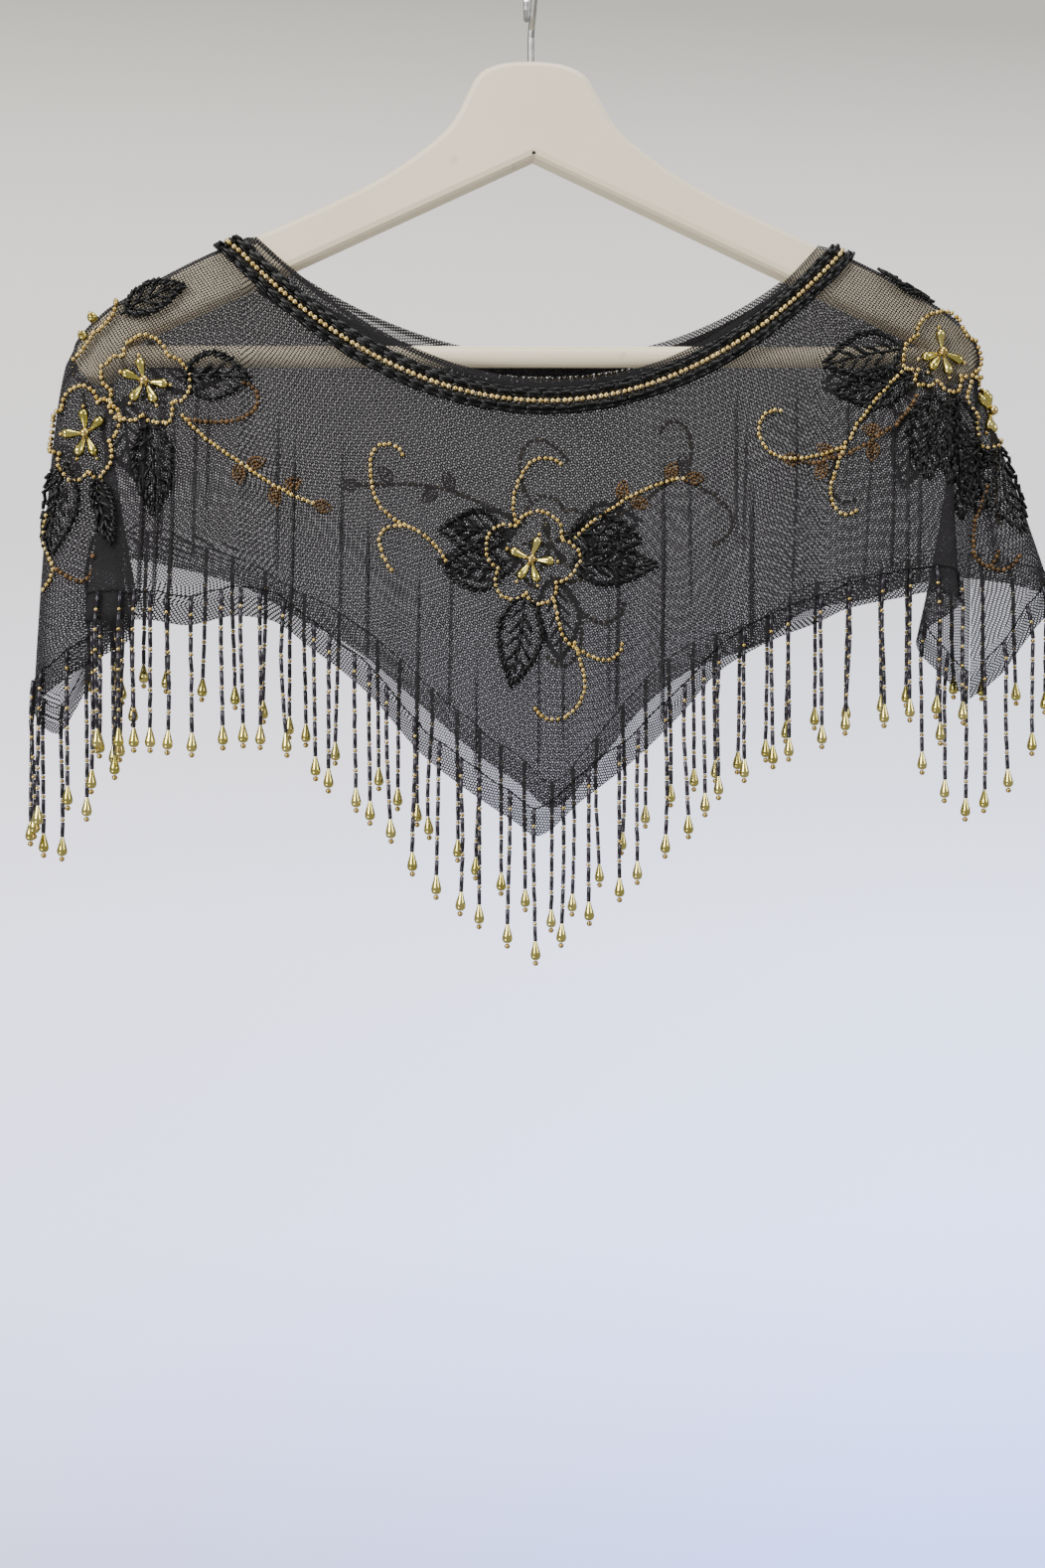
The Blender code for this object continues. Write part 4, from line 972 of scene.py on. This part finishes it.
class Beadwork:
    """Beads placed one by one and joined into one mesh, each with its own tone."""

    def __init__(self, seed):
        self.points, self.faces, self.tones, self.kinds = [], [], [], []
        self.count = 0
        self.chance = random.Random(seed)

    def shake(self, spread):
        """A small random step in every direction."""
        return Vector([self.chance.gauss(0, spread) for _ in range(3)])

    def put(self, bead, place, along, kind=0, size=(1, 1, 1), tone=None):
        """One bead with its Z axis along a direction; size scales it across, through and along."""
        points, faces = BEADS[bead]
        z = Vector(along).normalized()
        x = z.orthogonal().normalized()
        turn = self.chance.uniform(0, math.tau)
        x = x * math.cos(turn) + z.cross(x) * math.sin(turn)
        frame_of = np.array((x, z.cross(x), z)).T
        self.points.append(points * np.array(size) @ frame_of.T + np.array(place))
        self.faces += [[k + self.count for k in face] for face in faces]
        self.kinds += [kind] * len(faces)
        self.tones += [self.chance.uniform(0.0, 1.0) if tone is None else tone] * len(points)
        self.count += len(points)

    def finish(self, name, materials, nodes, slot, sharp=62):
        mesh = bpy.data.meshes.new(name)
        mesh.from_pydata(np.concatenate(self.points) * MM, [], self.faces)
        mesh.polygons.foreach_set("material_index", self.kinds)
        tone = mesh.attributes.new("tone", "FLOAT", "POINT")
        tone.data.foreach_set("value", self.tones)
        mesh.shade_smooth()
        mesh.set_sharp_from_angle(angle=math.radians(sharp))
        return finish_piece(name, mesh, materials, nodes)


def eye(angle):
    """Directions to the right of and away from an eye that looks level at the cape."""
    a = math.radians(angle)
    return Vector((math.cos(a), math.sin(a), 0)), Vector((-math.sin(a), math.cos(a), 0))


class Ground:
    """The cape as an eye sees it: turns places in the eye's view into places on the nearest cloth."""

    def __init__(self, trees, centre, angle, round_arm, narrow):
        self.trees, self.centre, self.narrow = trees, centre, narrow
        self.angle, self.round_arm = angle, round_arm
        self.across, self.away = eye(angle)
        if round_arm:
            self.centre = self.lay(0, 0, 0)[0]

    def lay(self, right, up, rise):
        """Point above the cloth at a place in the eye's view, and the cloth's direction there."""
        across, away = eye(self.angle + self.round_arm * right)
        aim = self.centre + across * right * self.narrow + Vector((0, 0, up))
        met = [tree.ray_cast(aim - away * EYE_BACK, away) for tree in self.trees]
        # Past the edge of the motif's own cloth a ray meets only what lies far behind it
        met = [found for found in met if found[0] is not None and (found[0] - aim).length < OWN_CLOTH]
        met = met or [tree.find_nearest(aim) for tree in self.trees]
        spot, normal = min(met, key=lambda found: found[3])[:2]
        if normal.dot(away) > 0:
            normal = -normal
        normal = (normal - away).normalized()
        return spot + normal * rise, normal


def spaced(points, pitch):
    """Points an even distance apart on a line, with the direction of the line at each."""
    found = []
    spare = 0.0
    for a, b in zip(points, points[1:]):
        length = (b - a).length
        while spare <= length and length > 0:
            found.append((a.lerp(b, spare / length), (b - a) / length))
            spare += pitch
        spare -= length
    return found


def vine_line(right, up, heading, arcs):
    """A line that goes on in arcs, each with a length and a turn to the left."""
    line = [Vector((right, up))]
    for length, turn in arcs:
        steps = max(3, int(length))
        for _ in range(steps):
            heading += turn / steps
            line.append(line[-1] + way_at(heading) * length / steps)
    return line


def string_of_seeds(work, ground, line, bead, pitch, rise, kind, wander=0.15):
    """A row of seed beads along a line in the eye's view."""
    for place, way in spaced(line, pitch):
        off = Vector((work.chance.gauss(0, wander), work.chance.gauss(0, wander)))
        spot, normal = ground.lay(*(place + off), rise)
        ahead = ground.lay(*(place + off + way), rise)[0]
        work.put(bead, spot, ahead - spot if (ahead - spot).length < 4 else ground.across, kind)


def outline_line(petals, size):
    """Five rounded lobes, one beyond each petal, that meet in notches."""
    line = []
    ways = list(petals) + [petals[0] + 360]
    for a, b in zip(ways, ways[1:]):
        for k in range(LOBE_STEPS):
            share = k / LOBE_STEPS
            dip = 1 - abs(2 * share - 1)
            reach = size * (1 - NOTCH * dip ** 2.2) * (1 + 0.05 * math.sin(3 * a))
            line.append(way_at(a + (b - a) * share) * reach)
    return line + line[:1]


def make_flower(name, petals, size, ground, materials, index):
    """A large bead, five teardrops round it and an outline of seeds in five lobes."""
    work = Beadwork(DRAWS["flower"] + index)
    centre, normal = ground.lay(0, 0, BEAD_R + 0.6)
    work.put("centre", centre, normal)
    for angle in petals:
        way = way_at(angle)
        root = ground.lay(*(way * PETAL_ROOT), 1.7)[0]
        foot = ground.lay(*(way * PETAL_FOOT), 2.3)[0]
        along = root - foot
        if along.length > PETAL_LONGEST:
            along = -(ground.across * way.x + Vector((0, 0, way.y)))
        work.put("petal", root, along, 1, (0.98, 0.98, 0.95))
        tip = ground.lay(*(way * PETAL_TIP), 1.4)[0]
        work.put("seed", tip, along, 0)
    string_of_seeds(work, ground, outline_line(petals, size), "vine seed", SEED_PITCH + 0.12, 1.5, 0, 0.2)
    for right, up, angle in SHOULDER_DROPS.get(name, ()):
        way = way_at(angle)
        along = (ground.away - Vector((way.x, 0, way.y)) * 0.35).normalized()
        foot = Vector((ground.centre.x + right, SHOULDER_Y, ground.centre.z + up))
        work.put("petal", foot + along * SHOULDER_TOP, along, 1)
        work.put("seed", foot - along * SHOULDER_END, along, 0)
    return work.finish(f"flower_{name}_beads", materials, [f"flower_{name}"], "gold_beads")


def leaf_half(share):
    """Half width of a leaf at a share of its length, as a share of its widest."""
    for (a, wide_a), (b, wide_b) in zip(LEAF_FORM, LEAF_FORM[1:]):
        if share <= b:
            return wide_a + (wide_b - wide_a) * (share - a) / (b - a)
    return LEAF_FORM[-1][1]


def make_leaves(name, ground, materials, index):
    """Open leaves: a rope of slanting bugles round the edge, a midrib and slanting veins."""
    work = Beadwork(DRAWS["leaves"] + index)
    rows = LEAVES[name]

    def stick(bead, middle, way, rise, length=1.0):
        spot = ground.lay(*middle, rise)[0]
        tilt = work.chance.uniform(-0.3, 0.3)
        reach = way * STICK_HALF
        along = ground.lay(*(middle + reach), rise + tilt)[0] - ground.lay(*(middle - reach), rise - tilt)[0]
        if not 2.0 < along.length < 7:
            along = ground.across * way.x + Vector((0, 0, way.y))
        work.put(bead, spot, along, 0, (1, 1, length))

    for root_right, root_up, tip_right, tip_up, half in rows:
        root, tip = Vector((root_right, root_up)), Vector((tip_right, tip_up))
        line = tip - root
        length = line.length
        ahead = line.normalized()
        beside = Vector((-ahead.y, ahead.x))
        bow = work.chance.uniform(-0.05, 0.05) * length

        def spot(share, lane):
            return root + line * share + beside * (half * leaf_half(share) * lane
                                                   + bow * 4 * share * (1 - share))

        for lane in (-1, 1):
            edge = [spot(k / 40, lane) for k in range(41)]
            for k, (place, way) in enumerate(spaced(edge, EDGE_PITCH)):
                slant = math.radians(work.chance.uniform(22, 42)) * lane
                rise = (1.0, 1.7)[k % 2] + work.chance.uniform(0, 0.3)
                stick("edge bugle", place, turned(way, slant), rise, work.chance.uniform(0.85, 1.15))
        rib = [spot(k / 20 * 0.88, 0) for k in range(21)]
        for place, way in spaced(rib, VEIN_PITCH):
            stick("leaf bugle", place + beside * work.chance.uniform(-0.4, 0.4), way,
                  work.chance.uniform(1.0, 1.9), 0.9)
        for lane in (-1, 1):
            for share in np.arange(0.16 + 0.05 * lane, 0.8, VEIN_PITCH / length):
                reach = half * leaf_half(min(1.0, share + 0.14))
                spread = work.chance.uniform(0.45, 0.66)
                way = (ahead + beside * lane * spread * 1.4).normalized()
                start = spot(share, 0) + beside * lane * 0.7
                size = min(1.1, max(0.4, reach * 1.15 / LEAF_BUGLE))
                stick("leaf bugle", start + way * 3.6 * size, way, work.chance.uniform(0.95, 1.6), size)
    nodes = [f"leaf_{name}_{k + 1}" for k in range(len(rows)) if f"leaf_{name}_{k + 1}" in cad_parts]
    return work.finish(f"leaves_{name}_bugles", materials, nodes, "black_beads")


def make_vines(name, ground, materials, index):
    """Vines of seeds with small filled leaflets."""
    work = Beadwork(DRAWS["vines"] + index)
    long, half = LEAFLET
    rows = [(bead, vine_line(*path), leaflets) for bead, *path, leaflets in VINES.get(name, ())]
    for bead, points, leaflets in TRAILS.get(name, ()):
        smooth = catmull([(right, up, 0) for right, up in points], 5)
        rows.append((bead, [Vector((p.x, p.y)) for p in smooth], leaflets))
    for bead, line, leaflets in rows:
        kind = 0 if bead == "gold" else 1
        string_of_seeds(work, ground, line, "vine seed", SEED_PITCH, SEED_RISE, kind)
        for share, side in leaflets:
            k = min(len(line) - 2, int(share * (len(line) - 1)))
            way = (line[k + 1] - line[k]).normalized()
            ahead = turned(way, math.radians(LEAFLET_TURN * side))
            beside = Vector((-ahead.y, ahead.x))
            root = line[k] + ahead * 1.6
            for row in range(LEAFLET_ROWS):
                at = (row + 0.5) / LEAFLET_ROWS
                wide = half * math.sin(math.pi * at ** 0.8)
                count = 4 if wide > 2.2 else 3 if wide > 1.5 else 2 if wide > 0.8 else 1
                for c in range(count):
                    lane = 0 if count == 1 else (2 * c / (count - 1) - 1) * wide
                    spot, normal = ground.lay(*(root + ahead * long * at + beside * lane),
                                              work.chance.uniform(0.8, 1.3))
                    work.put("fine seed", spot, normal, 1)
    return work.finish(f"vines_{name}_seeds", materials, [], "gold_beads")


def across_band(slope):
    """Direction across the band towards the neck, where the band rises by a slope."""
    tilt = math.atan(slope)
    return Vector((-math.sin(tilt), 0, math.cos(tilt)))


def band_line(panel):
    """Middle of the neck band and the direction towards the neck, from arm to arm."""
    face = panel["face"]
    ends = {}
    for side, (last_run, top_x) in BAND_TURN.items():
        z, slope = neck_line(panel, side * last_run)
        low = Vector((NECK_X + side * last_run, face * BAND_LOW, z))
        aside = across_band(slope)
        place, out = along_arm(arm_distance(top_x), side)
        along = Vector((-side * abs(out.z), 0, abs(out.x)))
        corner = place + out * 0.6 + Vector((0, face * BAND_CORNER, 0))
        steps = [(place + out * 1.2 + Vector((0, face * depth, 0)), along) for depth in BAND_TOP]
        steps += [(corner.lerp(low, t), along.lerp(aside, t).normalized()) for t in (0.0, 0.25, 0.5, 0.75)]
        ends[side] = steps
    middle = []
    span = BAND_TURN[-1][0] + BAND_TURN[1][0]
    steps = int(span / BAND_STEP)
    for k in range(steps + 1):
        run = -BAND_TURN[-1][0] + span * k / steps
        z, slope = neck_line(panel, run)
        middle.append((Vector((NECK_X + run, face * BAND_DEPTH, z)), across_band(slope)))
    return ends[-1] + middle + list(reversed(ends[1]))


def make_band(side, tree, materials):
    """Three rows of bugles on both sides of one row of pearls; the middle ones have a second layer."""
    face = PANELS[side]["face"]
    work = Beadwork(DRAWS["band"] + face)

    def row_line(offset, rise):
        line = []
        for place, inward in band_line(PANELS[side]):
            spot, normal = tree.find_nearest(place + inward * offset)[:2]
            if normal.dot(Vector((0, face, 0.6))) < 0:
                normal = -normal
            line.append(spot + normal * rise)
        return catmull(line, 4)

    gap = 0
    for place, way in spaced(row_line(0.0, PEARL_RISE), PEARL_HALF):
        gap += 1
        if gap % 2:
            shift = 0.16 if gap % 4 == 1 else -0.16
            work.put("pearl", place + way * shift, way, 1)
    for offset in BAND_ROWS:
        for lift, wander in ((1.3, 0.12), (2.3, 0.45)):
            if lift > 2 and abs(offset) != DOUBLE_ROW:
                continue
            first = work.chance.randrange(2)
            line = row_line(offset * (1.0 if lift < 2 else 0.8), lift)
            for place, way in spaced(line, BAND_BUGLE)[first:]:
                off = work.shake(wander)
                tilt = work.shake(0.03)
                work.put("band bugle", place + off * 0.5, way + tilt, 0)
    return work.finish(f"neck_band_{side}_beads", materials, [f"neck_band_{side}"], "beaded_band")


def hem_point(surface, run, row):
    """Point of the net and its outward direction at a run, in one row of its grid."""
    runs, grid, ways = surface
    i = min(len(runs) - 2, max(k for k in range(len(runs)) if k == 0 or runs[k] <= run))
    t = (run - runs[i]) / (runs[i + 1] - runs[i])
    return (Vector(grid[i, row]).lerp(Vector(grid[i + 1, row]), t),
            Vector(ways[i, row]).lerp(Vector(ways[i + 1, row]), t).normalized())


def make_fringe(side, surface, materials):
    """Strands of bugles and seeds with a teardrop at the foot, and the thread that they hang from."""
    work = Beadwork(DRAWS["fringe"] + PANELS[side]["face"])
    line = Beadwork(DRAWS["thread"])
    thread_row = -1 - len(EDGE_STOPS)
    tops = []
    for run in STRANDS[side]:
        top, out = hem_point(surface, run, thread_row)
        edge, edge_out = hem_point(surface, run, -1)
        start = top + out * STRAND_OUT
        level = Vector((edge_out.x, edge_out.y, 0)).normalized()
        foot = edge + level * (STRAND_OUT + 0.3)
        tops.append((run, start))
        lean = Vector((work.chance.gauss(0, 0.010), work.chance.gauss(0, 0.006), 0))
        swing = Vector((work.chance.gauss(0, 0.5), work.chance.gauss(0, 0.3), 0))
        phase = work.chance.uniform(0, 6)

        def hang(depth):
            share = min(1.0, depth / EDGE_DROP)
            flat = start.lerp(foot, share)
            sway = swing * math.sin(phase + depth / SWAY_WAVE) * min(1.0, depth / SWAY_DEPTH)
            return Vector((flat.x, flat.y, start.z - depth)) + lean * depth + sway

        depth = STRAND_TOP
        for bead, length in STRAND:
            place, below = hang(depth), hang(depth + length)
            way = (place - below).normalized()
            if bead == "bugle":
                work.put("bugle", (place + below) / 2, way + work.shake(0.03), 0)
            elif bead == "drop":
                work.put("drop", place, way, 2)
            elif bead == "end":
                work.put("end", (place + below) / 2, way, 1, tone=0.1)
            else:
                work.put("seed", (place + below) / 2, way, 1)
            depth += length
    for (run_a, _), (run_b, _) in zip(tops, tops[1:]):
        steps = max(3, int((run_b - run_a) / THREAD_STEP))
        dip = line.chance.uniform(-1.0, 1.4)
        points = []
        for k in range(steps + 1):
            share = k / steps
            place, out = hem_point(surface, run_a + (run_b - run_a) * share, thread_row)
            points.append(place + out * 0.8 - Vector((0, 0, dip * 4 * share * (1 - share))))
        for a, b in zip(points, points[1:]):
            if (b - a).length > 0.05:
                line.put("thread", (a + b) / 2, b - a, 0, (1, 1, (b - a).length * 1.08), 0.0)
    strands = work.finish(f"fringe_{side}_strands", materials[:3], [f"fringe_{side}"], "black_beads")
    thread = line.finish(f"fringe_{side}_thread", [materials[3]], [], "black_net")
    return [strands, thread]


def stage_room():
    """Pale room without a ceiling, with rounded edges; its walls glow with painted light, darker towards the
    top and a little bluer to the lower right.
    """
    room = Finish("walls glowing with painted light", Roughness=0.9, Base_Color=(0.02, 0.02, 0.02, 1.0),
                  Emission_Strength=WALL_GLOW, Specular_IOR_Level=0.0)
    # Painted light: the walls' glow is graded by height and from left to right, not lit by the lamps
    place = room.node("ShaderNodeSeparateXYZ", None, {"Vector": room.places()}, "Z")
    aside = room.node("ShaderNodeSeparateXYZ", None, {"Vector": room.places()}, "X")
    share = room.range(place, WALL_LOW, WALL_HIGH, 0.0, 1.0)
    painted_light_colours = [room.node("ShaderNodeValToRGB", {"stops": [(stop, tint[side]) for stop, *tint in WALL_PAINTED_LIGHT]},
                       {0: share}, "Color") for side in (0, 1)]
    room.feed(Emission_Color=room.blend(room.range(aside, *ROOM_SIDES, 0.0, 1.0), *painted_light_colours))
    shape = bmesh.new()
    bmesh.ops.create_cube(shape, size=1.0)
    bmesh.ops.scale(shape, vec=ROOM_SIZE, verts=shape.verts)
    middle = (0.0, WALL_Y - ROOM_SIZE[1] / 2, FLOOR_Z + ROOM_SIZE[2] / 2)
    bmesh.ops.translate(shape, vec=middle, verts=shape.verts)
    top = max(shape.faces, key=lambda face: face.calc_center_median().z)
    rims = [edge for edge in shape.edges if edge not in list(top.edges)]
    bmesh.ops.delete(shape, geom=[top], context="FACES_ONLY")
    bmesh.ops.bevel(shape, geom=rims, offset=CURVE_R, segments=12, profile=0.5, affect="EDGES", material=-1)
    bmesh.ops.reverse_faces(shape, faces=shape.faces)
    made = show("pale_room", as_mesh("pale_room", shape))
    made.data.materials.append(room.material)
    made.visible_diffuse = False
    made.visible_glossy = False
    made.visible_shadow = False


def stage_light():
    """Soft lamps, pale light from all round, and the camera."""
    for k, (place, goal, width, power, colour) in enumerate(LAMPS):
        lamp = bpy.data.lights.new(f"soft lamp {k + 1}", "AREA")
        lamp.shape = "SQUARE"
        lamp.size = width
        lamp.energy = power
        lamp.color = colour
        made = show(lamp.name, lamp)
        made.location = place
        made.rotation_euler = (Vector(goal) - Vector(place)).to_track_quat("-Z", "Y").to_euler()
    world = bpy.data.worlds.new("pale room light")
    world.use_nodes = True
    world.node_tree.nodes["Background"].inputs["Color"].default_value = (AMBIENT, AMBIENT, AMBIENT, 1.0)
    bpy.context.scene.world = world
    lens = bpy.data.cameras.new("camera")
    lens.lens = LENS
    lens.sensor_width = FILM
    eye_of = show("camera", lens)
    eye_of.location = EYE
    eye_of.rotation_euler = (math.pi / 2, 0.0, -math.radians(EYE_YAW))
    bpy.context.scene.camera = eye_of


def dress_hanger():
    """Cream paint on the hanger's wood and plated wire on its hook."""
    paint, wire = paint_finish("cream paint", (0.90, 0.78, 0.57)), steel_finish()
    for name, material in (("hanger_body", paint), ("hanger_bar", paint), ("hanger_hook", wire)):
        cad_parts[name].data.materials.clear()
        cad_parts[name].data.materials.append(material)


def build():
    """The hanger's finish, both nets with all their bead work, the room and its light."""
    dress_hanger()
    net_material = net_finish()
    black = bead_finish("black glass bugles", (0.0015, 0.0015, 0.0015), (0.005, 0.005, 0.006), 0.28, 0.0,
                        0.25)
    slate = bead_finish("slate glass bugles", (0.007, 0.006, 0.008), (0.034, 0.029, 0.040), 0.2, 0.35)
    gold = bead_finish("gold seeds", (0.42, 0.29, 0.08), (0.74, 0.56, 0.22), 0.2, 1.0)
    pearl = bead_finish("gold pearls", (0.50, 0.36, 0.13), (0.78, 0.61, 0.30), 0.22, 0.9)
    drop = bead_finish("green gold drops", (0.52, 0.44, 0.10), (0.76, 0.66, 0.24), 0.12, 1.0)
    bronze = bead_finish("bronze seeds", (0.045, 0.026, 0.010), (0.19, 0.105, 0.04), 0.28, 0.65)
    cotton = bead_finish("black cotton thread", (0.003, 0.003, 0.003), (0.01, 0.01, 0.01), 0.8, 0.0, 0.2)
    nets = {}
    for side, panel in PANELS.items():
        side_z = NECK_SIDE_Z - NECK_LIFT * NECK_SIDE_X ** 4
        panel["rise"] = (side_z - panel["neck_z"]) / NECK_SIDE_X ** 2
        nets[side] = make_net(side, net_material)
    trees = [tree for _, tree, _ in nets.values()]
    for side, (net, tree, surface) in nets.items():
        carried = [make_band(side, tree, [black, pearl])]
        carried += make_fringe(side, surface, [slate, gold, drop, cotton])
        for index, (name, on, x, y, z, angle, petals, size, round_arm, narrow) in enumerate(FLOWERS):
            if on != side:
                continue
            ground = Ground(trees, Vector((x, y, z)), angle, round_arm, narrow)
            carried.append(make_flower(name, petals, size, ground, [gold, drop], index))
            carried.append(make_leaves(name, ground, [black], index))
            if name in VINES or name in TRAILS:
                carried.append(make_vines(name, ground, [gold, bronze], index))
    stage_room()
    stage_light()


build()
